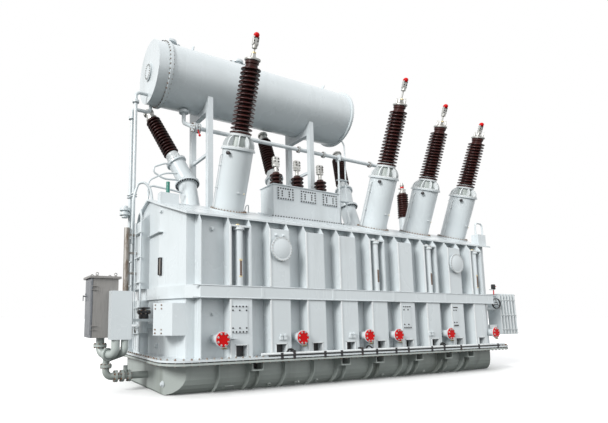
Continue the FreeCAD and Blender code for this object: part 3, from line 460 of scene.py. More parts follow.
# %% The bolt tree
def open_tree(name, inputs):
    """A tree with named inputs, given as pairs of a label and a socket kind."""
    tree = bpy.data.node_groups.new(name, "GeometryNodeTree")
    tree.is_modifier = True
    tree.interface.new_socket("Geometry", in_out="INPUT", socket_type="NodeSocketGeometry")
    tree.interface.new_socket("Geometry", in_out="OUTPUT", socket_type="NodeSocketGeometry")
    for label, kind in inputs:
        tree.interface.new_socket(label, in_out="INPUT", socket_type="NodeSocket" + kind)
    graph = Graph(tree)
    return tree, graph, graph.node("NodeGroupInput").outputs, graph.node("NodeGroupOutput")


def finish_tree(graph, geometry, material, group_output):
    solid = graph.node("GeometryNodeRealizeInstances", {}, {"Geometry": geometry})
    painted = graph.node("GeometryNodeSetMaterial", {}, {"Geometry": solid.outputs[0], "Material": material})
    graph.tree.links.new(painted.outputs[0], group_output.inputs[0])


def cylinder_node(graph, sides, radius, depth, lift):
    made = graph.node("GeometryNodeMeshCylinder", {}, {"Vertices": sides, "Radius": radius, "Depth": depth})
    offset = graph.node("ShaderNodeCombineXYZ", {}, {"Z": lift})
    return graph.node("GeometryNodeTransform", {}, {"Geometry": made.outputs[0],
                                                    "Translation": offset.outputs[0]})


def bolt_tree():
    tree, graph, given, result = open_tree("bolt rows", [
        ("Nut Radius", "Float"), ("Seed", "Int"), ("Finish", "Material")])
    size = Value(graph, given["Nut Radius"])
    washer = cylinder_node(graph, 14, size * 1.35, size * 0.25, size * 0.12)
    nut = cylinder_node(graph, 6, size, size * 0.9, size * 0.65)
    stud = cylinder_node(graph, 8, size * 0.55, size * 0.6, size * 1.3)
    bolt = graph.node("GeometryNodeJoinGeometry")
    for part in (washer, nut, stud):
        tree.links.new(part.outputs[0], bolt.inputs[0])
    out = graph.node("GeometryNodeInputNamedAttribute", {"data_type": "FLOAT_VECTOR"}, {"Name": "out"})
    facing = graph.node("FunctionNodeAlignRotationToVector", {"axis": "Z"}, {"Vector": out.outputs[0]})
    spin = graph.node("FunctionNodeRandomValue", {"data_type": "FLOAT"},
                      {"Max": 1.05, "Seed": given["Seed"]})
    turn = graph.node("ShaderNodeCombineXYZ", {}, {"Z": spin.outputs[1]})
    turned = graph.node("FunctionNodeRotateRotation", {"rotation_space": "LOCAL"},
                        {"Rotation": facing.outputs[0], "Rotate By": turn.outputs[0]})
    placed = graph.node("GeometryNodeInstanceOnPoints", {}, {
        "Points": given[0], "Instance": bolt.outputs[0], "Rotation": turned.outputs[0]})
    finish_tree(graph, placed.outputs[0], given["Finish"], result)
    return tree


BOLTS = bolt_tree()
print("bolt tree:", len(BOLTS.nodes), "nodes")


# %% Growing a piece from a tree

def set_inputs(modifier, tree, values):
    """Sets named inputs by their socket's identifier."""
    for item in tree.interface.items_tree:
        if getattr(item, "in_out", "") == "INPUT" and item.name in values:
            modifier[item.identifier] = values[item.name]


def grown(name, start_mesh, tree, values, finish, body=MAIN, place=None, smooth_angle=35):
    """Runs a tree on a mesh and keeps the result as a plain piece."""
    source = linked(name + "_source", start_mesh)
    modifier = source.modifiers.new("grow", "NODES")
    modifier.node_group = tree
    set_inputs(modifier, tree, values)
    bpy.context.view_layer.update()
    depsgraph = bpy.context.evaluated_depsgraph_get()
    data = bpy.data.meshes.new_from_object(source.evaluated_get(depsgraph))
    source.modifiers.remove(modifier)
    bpy.data.objects.remove(source)
    data.name = name
    if place:
        data.transform(place)
    if not data.materials:
        data.materials.append(PAINT[finish])
    return settled(name, data, body, smooth_angle)


def bolts(name, places, nut_radius, finish="plated_bolt", body=MAIN, seed=1):
    """A row of bolts; places is a list of (point, outward direction)."""
    cloud = bpy.data.meshes.new(name)
    cloud.from_pydata([tuple(point) for point, _ in places], [], [])
    facing = cloud.attributes.new("out", "FLOAT_VECTOR", "POINT")
    for item, (_, outward) in zip(facing.data, places):
        item.vector = Vector(outward).normalized()
    return grown(name, cloud, BOLTS, {"Nut Radius": nut_radius, "Seed": seed, "Finish": PAINT[finish]},
                 finish, body)


def bolt_circle(count, radius, height, place, start=0.0, flip=False):
    """Places for bolts on a circle of a local frame."""
    axis = (place.to_3x3() @ UP) * (-1 if flip else 1)
    return [(place @ p, axis) for p in ring_of(count, radius, height, start)]


print("bolts can stand in rows and circles")


# %% [markdown]
# ## Driving sizes
# Corners come from the frame's nodes. What a box can't give, such as a slope or a pitch, is named here.


# %% Sizes
SLOPE = math.radians(20)
SIN, COS = math.sin(SLOPE), math.cos(SLOPE)
FRONT_NORMAL = Vector((0, -SIN, COS))
BACK_NORMAL = Vector((0, SIN, COS))
RIDGE_HALF = 0.06
COVER_LOW, COVER_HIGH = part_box("tank_cover")
TANK_LOW, TANK_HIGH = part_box("upper_tank")
BAND_LOW, BAND_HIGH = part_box("belt_band")
FLANGE_LOW, FLANGE_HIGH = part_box("upper_flange")
UNDER_LOW, UNDER_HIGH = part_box("lower_flange")
BOX_LOW, BOX_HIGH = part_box("front_lower_stiffeners")
STIFF_WIDTH = 0.538
STIFF_PITCH = 1.015
BOX_COUNT = 9
STIFF_FIRST = BOX_HIGH.x - STIFF_WIDTH - (BOX_COUNT - 1) * STIFF_PITCH
FACE_Y = BOX_LOW.y


def roof(y):
    """Height of the cover's top surface."""
    return COVER_HIGH.z - max(abs(y) - RIDGE_HALF, 0) * math.tan(SLOPE)


def box_middle(index):
    return STIFF_FIRST + index * STIFF_PITCH + STIFF_WIDTH / 2


print("stiffener faces at y =", round(FACE_Y, 3), "first box at x =", round(STIFF_FIRST, 3))

# %% [markdown]
# ## Porcelain by rule
# A bushing's porcelain is one rule repeated: a thin disc that slopes down, every pitch, tapering towards
# the top. The tree puts a shed made on the lathe on each point of a line and scales it by its height.


# %% The shed tree
def shed_mesh(core, rim, pitch):
    """One shed with its piece of core, turned about Z."""
    shape = Shape()
    thick = pitch * 0.34
    shape.lathe([(core * 0.97, 0), (core, pitch * 0.06), (core + (rim - core) * 0.30, pitch * 0.12),
                 (core + (rim - core) * 0.80, pitch * 0.05), (rim - thick * 0.35, 0),
                 (rim - thick * 0.08, thick * 0.18), (rim, thick * 0.5), (rim - thick * 0.10, thick * 0.85),
                 (rim - thick * 0.4, thick * 1.1), (core + (rim - core) * 0.50, pitch * 0.50),
                 (core + (rim - core) * 0.12, pitch * 0.62), (core * 0.97, pitch * 0.72),
                 (core * 0.97, pitch)], segments=44)
    return linked("shed_pattern", shape.data("shed"))


def shed_tree():
    tree, graph, given, result = open_tree("stack of sheds", [
        ("Shed", "Object"), ("Count", "Int"), ("Pitch", "Float"),
        ("Top Scale", "Float"), ("Finish", "Material")])
    count = Value(graph, given["Count"])
    step = graph.node("ShaderNodeCombineXYZ", {}, {"Z": given["Pitch"]})
    line = graph.node("GeometryNodeMeshLine", {}, {"Count": given["Count"],
                                                  "Offset": step.outputs[0]})
    pattern = graph.node("GeometryNodeObjectInfo", {}, {"Object": given["Shed"]})
    index = Value(graph, graph.node("GeometryNodeInputIndex").outputs[0])
    share = graph.value("ShaderNodeMath", {"operation": "DIVIDE"}, {0: index, 1: count})
    width = 1 - share * (1 - Value(graph, given["Top Scale"]))
    scale = graph.node("ShaderNodeCombineXYZ", {}, {"X": width, "Y": width, "Z": 1.0})
    placed = graph.node("GeometryNodeInstanceOnPoints", {}, {
        "Points": line.outputs[0], "Instance": pattern.outputs["Geometry"], "Scale": scale.outputs[0]})
    finish_tree(graph, placed.outputs[0], given["Finish"], result)
    return tree


SHEDS = shed_tree()


def porcelain(name, place, core, rim, length, count, top_scale=0.9):
    """A stack of sheds that starts at the place's origin."""
    pattern = shed_mesh(core, rim, length / count)
    empty = bpy.data.meshes.new(name)
    made = grown(name, empty, SHEDS, {"Shed": pattern, "Count": count, "Pitch": length / count,
                                      "Top Scale": top_scale, "Finish": PAINT["brown_porcelain"]},
                 "brown_porcelain", place=place, smooth_angle=50)
    bpy.data.objects.remove(pattern)
    return made


print("shed tree:", len(SHEDS.nodes), "nodes")


# %% [markdown]
# ## High-voltage bushings
# Each stands on a turret at right angles to the sloping cover. From the turret up: a ribbed casting, the
# porcelain, a clamp ring, and a terminal with two bolted halves under a red transport ball.


# %% Ribbed casting
HV_Y = -0.80
HV_TURRET_R = 0.375
HV_FOOT_R = 0.465
LONG = (1.500, 1.860, 3.400)
SHORT = (1.400, 1.720, 3.140)
HV_BUSHINGS = ((LONG, 4.150, 16), (LONG, 4.280, 17), (SHORT, 3.950, 17), (SHORT, 3.760, 16))


def ribbed_casting(name, place, low, high):
    """White cone with webs between a bolted ring and a neck ring."""
    shape = Shape()
    shape.ring(0.24, 0.405, low, low + 0.035, place, 48)
    shape.lathe([(0.235, high - 0.065), (0.252, high - 0.055), (0.252, high - 0.008), (0.240, high)],
                place, 48)
    rise = high - low - 0.09
    web = [(0.18, 0), (0.385, 0), (0.388, rise * 0.18), (0.375, rise * 0.42), (0.345, rise * 0.66),
           (0.300, rise * 0.86), (0.250, rise), (0.18, rise)]
    for i in range(9):
        turn = Matrix.Rotation(2 * math.pi * i / 9, 4, "Z") @ Matrix.Rotation(math.pi / 2, 4, "X")
        start = place @ shift((0, 0, low + 0.033)) @ turn @ shift((0, 0, -0.014))
        shape.plate(web, 0.028, start)
    shape.lathe([(0.215, high - 0.012), (0.215, high + 0.05), (0.198, high + 0.065)], place, 48)
    shape.piece(name, "white_paint")
    core = Shape()
    core.lathe([(0.245, low + 0.03), (0.235, low + 0.12), (0.205, high - 0.09), (0.20, high - 0.05)],
               place, 48)
    core.piece(name + "_core", "tub_grey_paint")
    rows = bolt_circle(24, 0.350, low + 0.035, place, math.pi / 24)
    bolts(name + "_bolts", rows, 0.016, seed=3)


print("casting ready")


# %% Terminal
def terminal(name, place, start, overall, plugs):
    """Clamp ring, stud, two-bolt clamp and its red ball; plugs adds sealing plugs round the stud."""
    cap = [(0.180, start), (0.192, start + 0.01), (0.192, start + 0.040), (0.17, start + 0.050),
           (0.12, start + 0.055)]
    Shape().lathe(cap, place, 40).piece(name + "_cap", "aluminium")
    post = Shape()
    post.lathe([(0.075, start + 0.055), (0.075, start + 0.10), (0.055, start + 0.11),
                (0.055, start + 0.165)], place, 24)
    post.lathe([(0.024, start + 0.16), (0.024, overall - 0.34)], place, 20)
    body = overall - 0.36
    post.lathe([(0.052, body), (0.062, body + 0.01), (0.062, body + 0.11), (0.052, body + 0.12)], place, 24)
    post.slab((-0.078, -0.030, body + 0.06), (0.078, 0.030, body + 0.27), place, 0.01)
    post.lathe([(0.045, body + 0.24), (0.045, body + 0.31)], place, 20)
    if plugs:
        for spot in ring_of(4, 0.115, 0, 0.4):
            post.lathe([(0.030, start + 0.05), (0.030, start + 0.14), (0.018, start + 0.16),
                        (0.018, start + 0.20)], place @ shift(spot), 12)
    post.piece(name + "_clamp", "aluminium")
    rows = [(place @ Vector((x, 0.030 * side, body + z)), place.to_3x3() @ Vector((0, side, 0)))
            for x in (-0.048, 0.048) for z in (0.10, 0.165, 0.23) for side in (-1, 1)]
    bolts(name + "_clamp_bolts", rows, 0.013, "dark_steel", seed=5)
    nut = [(0.062, start + 0.165), (0.062, start + 0.195), (0.045, start + 0.20)]
    Shape().lathe(nut, place, 6).piece(name + "_nut", "brass")
    Shape().ball(0.070, place @ shift((0, 0, overall - 0.070)), 0.95).piece(name + "_ball", "red_enamel")


print("terminal ready")


# %% Turret fittings
def turret_fittings(name, place, length):
    """Bolted feet, a conduit down the left side, an air-release knob and a cream plug."""
    rows = bolt_circle(36, (HV_FOOT_R + HV_TURRET_R) / 2 + 0.012, 0.032, place)
    bolts(name + "_foot_bolts", rows, 0.021, "rusty_bolt", seed=7)
    r = HV_TURRET_R
    pipe = Shape()
    run = ((0.005, length - 0.16), (0.055, length - 0.20), (0.055, 0.30), (0.06, 0.06))
    pipe.tube([place @ Vector((-r - off, 0.02, height)) for off, height in run], 0.013, 0.05)
    pipe.ring(0.05, r + 0.016, 0.034, 0.050, place, 48)
    for height in (length * 0.35, length * 0.7):
        pipe.slab((-r - 0.075, 0.0, height), (-r + 0.02, 0.04, height + 0.025), place)
    pipe.slab((-0.045, r - 0.02, length - 0.19), (0.045, r + 0.09, length - 0.165), place)
    pipe.slab((-0.045, -r - 0.05, 0.48), (0.045, -r + 0.02, 0.50), place)
    pipe.piece(name + "_fittings", "white_paint")
    knob = [(0.030, -0.03), (0.030, 0.045), (0.046, 0.05), (0.046, 0.085), (0.03, 0.095)]
    where = stand(place @ Vector((-r * 0.86, -r * 0.55, length - 0.13)),
                  place.to_3x3() @ Vector((-0.86, -0.55, 0)))
    Shape().lathe(knob, where, 16).piece(name + "_release", "dark_steel")
    loop = [(r + 0.06, -0.05, 0.03), (r + 0.07, -0.05, 0.20), (r + 0.20, 0.05, 0.22), (r + 0.26, 0.10, 0.02)]
    Shape().tube([place @ Vector(p) for p in loop], 0.014, 0.07).piece(name + "_bleed_pipe", "white_paint")
    where = stand(place @ Vector((r * 0.45, -r * 0.89, length * 0.32)),
                  place.to_3x3() @ Vector((0.45, -0.89, 0)))
    plug = [(0.024, -0.02), (0.024, 0.012), (0.016, 0.018)]
    Shape().lathe(plug, where, 16).piece(name + "_plug", "cream_plastic")


print("turret fittings ready")

# %% [markdown]
# The four differ in length and in the number of sheds, so a table holds what differs.

# %% Four high-voltage bushings
for number, (sizes, overall, sheds) in enumerate(HV_BUSHINGS, 1):
    turret_length, shed_start, shed_end = sizes
    low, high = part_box("hv_turret_%d" % number)
    place = stand(((low.x + high.x) / 2, HV_Y, roof(HV_Y)), FRONT_NORMAL)
    label = "hv%d" % number
    ribbed_casting(label + "_casting", place, turret_length, shed_start)
    stack = porcelain(label + "_porcelain", place @ shift((0, 0, shed_start)), 0.172, 0.268,
                      shed_end - shed_start, sheds, 0.88)
    neck = [(0.145, shed_end - 0.02), (0.145, shed_end + 0.03), (0.165, shed_end + 0.05),
            (0.165, shed_end + 0.11), (0.15, shed_end + 0.12)]
    Shape().lathe(neck, place, 36).piece(label + "_head", "brown_porcelain")
    terminal(label, place, shed_end + 0.115, overall, number > 1)
    turret_fittings(label, place, turret_length)
    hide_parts("hv_bushing_%d" % number)
print("high-voltage bushings done")

# %% [markdown]
# ## Medium-voltage bushings
# These lean away behind the ridge. Their turrets are bent, so the porcelain's axis is given by a heading
# and a tilt. They are shorter, with a plain flange below and a ringed terminal cap above.


# %% Medium-voltage bushings
MV_Y = 0.42
MV_UPPER = 0.680
MV_NECK = 0.290
MV_PORCELAIN = 1.230
MV_CAP = 0.380
MV_SET = ((-3.990, 1.070, -48, 29), (-0.930, 1.000, 0, 20), (1.840, 1.050, 30, 26))


def mv_axis(heading, tilt):
    h, t = math.radians(heading), math.radians(tilt)
    return Vector((math.sin(t) * math.sin(h), math.sin(t) * math.cos(h), math.cos(t)))


for number, (x, lower, heading, tilt) in enumerate(MV_SET, 1):
    label = "mv%d" % number
    foot = stand((x, MV_Y, roof(MV_Y)), BACK_NORMAL)
    knee = foot @ Vector((0, 0, lower))
    place = stand(knee + mv_axis(heading, tilt) * MV_UPPER, mv_axis(heading, tilt))
    bolts(label + "_foot_bolts", bolt_circle(26, 0.308, 0.030, foot), 0.017, "rusty_bolt", seed=11)
    above = bolt_circle(26, 0.300, lower - 0.070, foot)
    below = bolt_circle(26, 0.300, lower - 0.130, foot, flip=True)
    bolts(label + "_ring_bolts", above, 0.019, "dark_steel", seed=12)
    bolts(label + "_ring_nuts", below, 0.019, "dark_steel", seed=13)
    bolts(label + "_top_bolts", bolt_circle(20, 0.262, 0.0, place), 0.017, "dark_steel", seed=14)
    collar = Shape()
    collar.lathe([(0.225, 0), (0.225, 0.04), (0.190, 0.06), (0.170, 0.16), (0.185, 0.20), (0.185, 0.25),
                  (0.165, MV_NECK - 0.01)], place, 40)
    for i in range(10):
        turn = Matrix.Rotation(2 * math.pi * i / 10, 4, "Z") @ Matrix.Rotation(math.pi / 2, 4, "X")
        collar.plate([(0.16, 0.03), (0.215, 0.03), (0.185, 0.22), (0.16, 0.22)], 0.012, place @ turn)
    collar.piece(label + "_collar", "white_paint")
    stack = porcelain(label + "_porcelain", place @ shift((0, 0, MV_NECK)), 0.130, 0.224,
                      MV_PORCELAIN, 13, 0.95)
    top = MV_NECK + MV_PORCELAIN
    head = Shape()
    head.lathe([(0.12, top - 0.01), (0.165, top), (0.165, top + 0.05), (0.12, top + 0.07),
                (0.115, top + 0.20), (0.155, top + 0.22), (0.155, top + 0.27), (0.09, top + 0.30)], place, 32)
    head.lathe([(0.035, top + 0.29), (0.035, top + MV_CAP)], place, 16)
    arc = [place @ Vector((0.15 * math.cos(a), 0, top + 0.20 + 0.13 * math.sin(a)))
           for a in [math.pi * i / 8 for i in range(9)]]
    head.tube(arc, 0.018, 0.02)
    head.piece(label + "_head", "aluminium")
    bolts(label + "_head_bolts", bolt_circle(10, 0.138, top + 0.27, place), 0.012, "dark_steel", seed=15)
    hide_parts("mv_bushing_%d" % number)
print("medium-voltage bushings done")

# %% [markdown]
# ## Low-voltage and neutral bushings
# Short stacks with three or four sheds on the low-voltage box, each with a flat terminal block. The
# neutral stands alone near the right end.


# %% Low-voltage bushings
for number in (1, 2, 3):
    label = "lv%d" % number
    low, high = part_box("lv_bushing_%d" % number)
    place = stand(((low.x + high.x) / 2, (low.y + high.y) / 2, low.z))
    Shape().ring(0.05, 0.150, 0.0, 0.022, place, 36).piece(label + "_flange", "white_paint")
    bolts(label + "_bolts", bolt_circle(8, 0.128, 0.022, place), 0.012, seed=21)
    stack = porcelain(label + "_porcelain", place @ shift((0, 0, 0.02)), 0.098, 0.182, 0.42, 4, 0.97)
    head = Shape()
    head.lathe([(0.095, 0.43), (0.065, 0.46), (0.050, 0.47), (0.050, 0.62)], place, 24)
    head.slab((-0.098, -0.050, 0.60), (0.098, 0.050, 0.890), place, 0.012)
    for z in (0.67, 0.74, 0.81):
        head.slab((-0.104, -0.056, z), (0.104, 0.056, z + 0.035), place, 0.008)
    head.piece(label + "_terminal", "aluminium")
    rows = [(place @ Vector((x, 0.054 * side, z)), Vector((0, side, 0)))
            for x in (-0.055, 0.055) for z in (0.75, 0.835) for side in (-1, 1)]
    bolts(label + "_terminal_bolts", rows, 0.015, "dark_steel", seed=22)
    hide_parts("lv_bushing_%d" % number)

print("low-voltage bushings done")

# %% Neutral bushing
low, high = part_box("neutral_bushing")
place = stand(((low.x + high.x) / 2, (low.y + high.y) / 2, low.z))
stack = porcelain("neutral_porcelain", place, 0.135, 0.188, 0.86, 11, 0.97)
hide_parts("neutral_bushing")
head = Shape()
head.lathe([(0.11, 0.85), (0.115, 0.87), (0.115, 0.92), (0.06, 0.95), (0.05, 1.12), (0.07, 1.13),
            (0.07, 1.17), (0.04, 1.18), (0.04, 1.24)], place, 28)
head.slab((-0.17, -0.025, 1.00), (0.17, 0.025, 1.03), place)
head.piece("neutral_head", "aluminium")
Shape().lathe([(0.062, 1.05), (0.062, 1.10)], place, 24).piece("neutral_mark", "red_enamel")
bolts("neutral_bolts", bolt_circle(12, 0.172, -0.003, place), 0.012, seed=23)
print("neutral bushing done")

# %% [markdown]
# ## The bolted joint
# Tub and bell are bolted together all the way round. The tree draws the flange's outline as a rounded
# rectangle, steps along it and stands a bolt at each step. Nuts sit above and below, and the shanks show
# in the dark gap between the plates.


# %% Bolts along the flange
def outline_tree():
    tree, graph, given, result = open_tree("bolts along an outline", [
        ("Length", "Float"), ("Width", "Float"), ("Corner", "Float"), ("Spacing", "Float"),
        ("Nut Radius", "Float"), ("Grip", "Float"), ("Height", "Float"), ("Finish", "Material")])
    size = Value(graph, given["Nut Radius"])
    grip = Value(graph, given["Grip"])
    outline = graph.node("GeometryNodeCurvePrimitiveQuadrilateral", {},
                         {"Width": given["Length"], "Height": given["Width"]})
    soft = graph.node("GeometryNodeFilletCurve", {"mode": "POLY"}, {
        "Curve": outline.outputs[0], "Count": 8, "Radius": given["Corner"]})
    steps = graph.node("GeometryNodeCurveToPoints", {"mode": "LENGTH"},
                       {"Curve": soft.outputs[0], "Length": given["Spacing"]})
    nut_top = cylinder_node(graph, 6, size, size * 0.9, grip * 0.5 + size * 0.45)
    end_top = cylinder_node(graph, 8, size * 0.6, size * 0.7, grip * 0.5 + size * 1.1)
    head_low = cylinder_node(graph, 6, size, size * 0.8, grip * -0.5 - size * 0.4)
    shank = cylinder_node(graph, 8, size * 0.62, grip, 0.0)
    bolt = graph.node("GeometryNodeJoinGeometry")
    for part in (nut_top, end_top, head_low, shank):
        tree.links.new(part.outputs[0], bolt.inputs[0])
    lift = graph.node("ShaderNodeCombineXYZ", {}, {"Z": given["Height"]})
    raised = graph.node("GeometryNodeTransform", {}, {"Geometry": steps.outputs[0],
                                                      "Translation": lift.outputs[0]})
    placed = graph.node("GeometryNodeInstanceOnPoints", {}, {"Points": raised.outputs[0],
                                                            "Instance": bolt.outputs[0]})
    finish_tree(graph, placed.outputs[0], given["Finish"], result)
    return tree


FLANGE_EDGE = 0.038
FLANGE_CORNER = 0.520
grown("flange_bolts", bpy.data.meshes.new("flange_bolts"), outline_tree(), {
    "Length": FLANGE_HIGH.x - FLANGE_LOW.x - 2 * FLANGE_EDGE,
    "Width": FLANGE_HIGH.y - FLANGE_LOW.y - 2 * FLANGE_EDGE,
    "Corner": FLANGE_CORNER - FLANGE_EDGE, "Spacing": 0.167, "Nut Radius": 0.024,
    "Grip": FLANGE_HIGH.z - UNDER_LOW.z, "Height": (FLANGE_HIGH.z + UNDER_LOW.z) / 2,
    "Finish": PAINT["rusty_bolt"]}, "rusty_bolt")
print("flange bolts done")

# %% [markdown]
# ## Front wall
# Nine box stiffeners carry two bolted manholes and access plates on three of the lower boxes. Four are
# open channels with a riser in each. Six valve stubs between the boxes are closed by red blanks.

# %% Manholes and riser caps
MAN_LOW, MAN_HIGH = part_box("manhole_covers")
for number, index in enumerate((1, 7), 1):
    centre = Vector((box_middle(index), MAN_LOW.y, (MAN_LOW.z + MAN_HIGH.z) / 2))
    place = stand(centre, OUT)
    bolts("manhole_%d_bolts" % number, bolt_circle(24, 0.262, -0.002, place), 0.012, "plated_bolt", seed=31)
    plate = [(0.215, -0.004), (0.215, 0.003), (0.205, 0.007)]
    Shape().lathe(plate, place, 48).piece("manhole_%d_plate" % number, "grey_paint")

RISER_LOW, RISER_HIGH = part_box("riser_columns")
for number, index in enumerate((0, 4, 6, 8), 1):
    centre = Vector((box_middle(index), (RISER_LOW.y + RISER_HIGH.y) / 2, RISER_HIGH.z))
    cap = stand(centre)
    glass = Shape().slab((-0.024, -0.098, -1.06), (0.024, -0.080, -0.74), cap, 0.008)
    glass.piece("riser_%d_glass" % number, "gauge_glass")
    mount = Shape()
    mount.slab((-0.038, -0.090, -1.09), (0.038, -0.070, -1.06), cap)
    mount.slab((-0.038, -0.090, -0.74), (0.038, -0.070, -0.70), cap)
    mount.lathe([(0.05, 0.0), (0.05, 0.07), (0.03, 0.08)], cap @ shift((-0.03, 0, -0.002)), 16)
    mount.piece("riser_%d_mount" % number, "brass" if number in (1, 4) else "white_paint")
    rows = bolt_circle(10, 0.104, -0.002, cap, math.pi / 8)
    bolts("riser_%d_bolts" % number, rows, 0.014, "rusty_bolt", seed=33)
print("manholes and risers dressed")

# %% Red blanks on the valve stubs
BLANK_LOW, BLANK_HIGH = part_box("stub_blanks")
STUB_X = [box_middle(i) - STIFF_PITCH / 2 for i in (0, 2, 4, 5, 7, 9)]
STUB_Z = (BLANK_LOW.z + BLANK_HIGH.z) / 2
blank = Shape()
tab = Shape()
rows = []
back_rows = []
for x in STUB_X:
    place = stand((x, BLANK_HIGH.y, STUB_Z), OUT)
    blank.lathe([(0.150, 0.0), (0.150, 0.014), (0.142, 0.022)], place, 48)
    rows += bolt_circle(8, 0.124, 0.022, place, math.pi / 8)
    back_rows += bolt_circle(8, 0.124, -0.026, place, math.pi / 8, flip=True)
    tab.slab((-0.02, -0.196, -0.030), (0.10, -0.162, 0.012), place, 0.012)
red = blank.piece("red_blanks", "red_enamel")
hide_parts("stub_blanks")
bolts("blank_bolts", rows, 0.017, "plated_bolt", seed=35)
bolts("blank_nuts", back_rows, 0.018, "plated_bolt", seed=36)
tab.piece("blank_tabs", "brass")
print("red blanks:", len(STUB_X))

# %% [markdown]
# Each box is folded from plate, so its near edge is rounded and catches the light; these edges and the frames
# of the hand holes are painted in the lighter white enamel as a painted highlight. The hand holes and the
# pads under the flange are deep, and a dark sheet at the back of each paints the shade inside them.

# %% Folded edges, hand holes and pads
edges = Shape()
shadow_sheets = Shape()
FACE_TOP = 3.577
HOLE_LOW = FLANGE_HIGH.z + 0.016
HOLE_TOP = HOLE_LOW + 0.257
for index in range(BOX_COUNT):
    middle = box_middle(index)
    x = middle - STIFF_WIDTH / 2 + 0.014
    for z0, z1 in ((BAND_HIGH.z, FACE_TOP), (FLANGE_HIGH.z, BAND_LOW.z)):
        edges.slab((x - 0.024, FACE_Y - 0.014, z0), (x + 0.024, FACE_Y + 0.012, z1), ease=0.007)
    for x0, x1, z0 in ((-0.157, -0.135, HOLE_LOW), (0.135, 0.157, HOLE_LOW),
                       (-0.157, 0.157, HOLE_LOW + 0.235)):
        edges.slab((middle + x0, FACE_Y - 0.012, z0), (middle + x1, FACE_Y + 0.01, HOLE_TOP))
    # A dark sheet at the back of each hand hole: painted shadow.
    shadow_sheets.slab((middle - 0.130, FACE_Y + 0.150, HOLE_LOW + 0.004),
                 (middle + 0.130, FACE_Y + 0.176, HOLE_LOW + 0.231))
PAD_X = (-3.480, -1.000, 0.130, 1.570, 2.760, 3.720)
PAD_LOW, PAD_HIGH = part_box("jacking_pads")
for x in PAD_X:
    for side in (-1, 1):
        near, far = sorted((side * 1.725, side * 1.702))
        # A dark sheet in each pad hollow: painted shadow.
        shadow_sheets.slab((x - 0.118, near, PAD_LOW.z + 0.034), (x + 0.118, far, PAD_HIGH.z - 0.003))
# Edge strips and hand-hole frames take the lighter white enamel, not the boxes' grey: a painted highlight.
edges.piece("folded_edges", "white_paint")
shadow_sheets.piece("dark_hollows", "dark_steel")
print("edges and hollows done")

# %% Access plates and small brackets
ACCESS = ((-4.150, -3.760, 1.260, 1.850), (0.970, 1.260, 1.300, 1.900), (2.980, 3.190, 1.340, 1.900))
rows = []
plates = Shape()
for x0, x1, z0, z1 in ACCESS:
    plates.slab((x0, FACE_Y - 0.014, z0), (x1, FACE_Y + 0.010, z1))
    across = 5 if x1 - x0 > 0.3 else 4
    for i in range(across):
        x = x0 + 0.03 + (x1 - x0 - 0.06) * i / (across - 1)
        rows += [((x, FACE_Y - 0.014, z), OUT) for z in (z0 + 0.03, z0 + 0.11, z1 - 0.11, z1 - 0.03)
                 if i % 2 == 0 or z in (z0 + 0.03, z1 - 0.03)]
for x in (-4.20, 2.87):
    plates.slab((x - 0.13, FACE_Y - 0.11, 1.150), (x + 0.13, FACE_Y + 0.01, 1.170))
    plates.slab((x - 0.13, FACE_Y - 0.11, 1.100), (x - 0.11, FACE_Y + 0.01, 1.170))
for pair in (-2.85, -0.82, 2.00):
    for x in (pair - 0.055, pair + 0.055):
        plates.slab((x - 0.042, FACE_Y - 0.040, 1.100), (x + 0.042, FACE_Y + 0.01, 1.185), ease=0.006)
        plates.slab((x - 0.025, FACE_Y - 0.055, 1.185), (x + 0.025, FACE_Y + 0.01, 1.225))
plates.piece("access_plates", "grey_paint")
bolts("access_bolts", rows, 0.014, "dark_steel", seed=37)
print("access plates:", len(ACCESS))

# %% Lugs on the tub's bilge
BILGE_Y, BILGE_Z = -1.545, 0.10
BILGE_OUT = (0, -0.632, -0.775)
lugs = Shape()
for x in (-2.94, -1.58, 0.62, 2.20):
    lugs.ring(0.026, 0.050, -0.02, 0.030, stand((x, BILGE_Y, BILGE_Z), BILGE_OUT), 24, 0.003)
for x in (-2.20, -2.12):
    lugs.lathe([(0.034, -0.02), (0.034, 0.030), (0.028, 0.036)], stand((x, BILGE_Y, BILGE_Z), BILGE_OUT), 20)
lugs.tube([(-4.16, -1.466, 0.05), (-4.08, -1.580, 0.13), (-3.88, -1.580, 0.13), (-3.80, -1.466, 0.05)],
          0.014, 0.01)
lugs.piece("tub_lugs", "tub_grey_paint")
print("tub lugs done")

# %% [markdown]
# A conduit runs along the flange, held by a clamp near every box. The band has a rolled lip above and
# below and a seam between its lengths of plate.

# %% Conduit, band lips and seams
run = Shape()
clips = Shape()
RUN_Y = FLANGE_LOW.y + 0.030
RUN_Z = FLANGE_HIGH.z + 0.040
run.tube([(-3.46, RUN_Y, RUN_Z + 0.012), (5.15, RUN_Y, RUN_Z + 0.012)], 0.032, 0.10)
cable = Shape()
cable.tube([(-3.30, RUN_Y - 0.030, RUN_Z - 0.020), (4.9, RUN_Y - 0.030, RUN_Z - 0.020)], 0.015, 0.10)
cable.tube([(-2.46, RUN_Y + 0.060, RUN_Z), (4.2, RUN_Y + 0.060, RUN_Z)], 0.014, 0.10)
for x in (-2.66, -0.30, 2.45):
    cable.tube([(x - 0.12, RUN_Y + 0.03, RUN_Z + 0.02), (x - 0.05, RUN_Y + 0.06, RUN_Z + 0.10),
                (x + 0.05, RUN_Y + 0.06, RUN_Z + 0.10), (x + 0.12, RUN_Y + 0.03, RUN_Z + 0.02)], 0.020, 0.04)
cable.piece("flange_cable", "black_rubber")
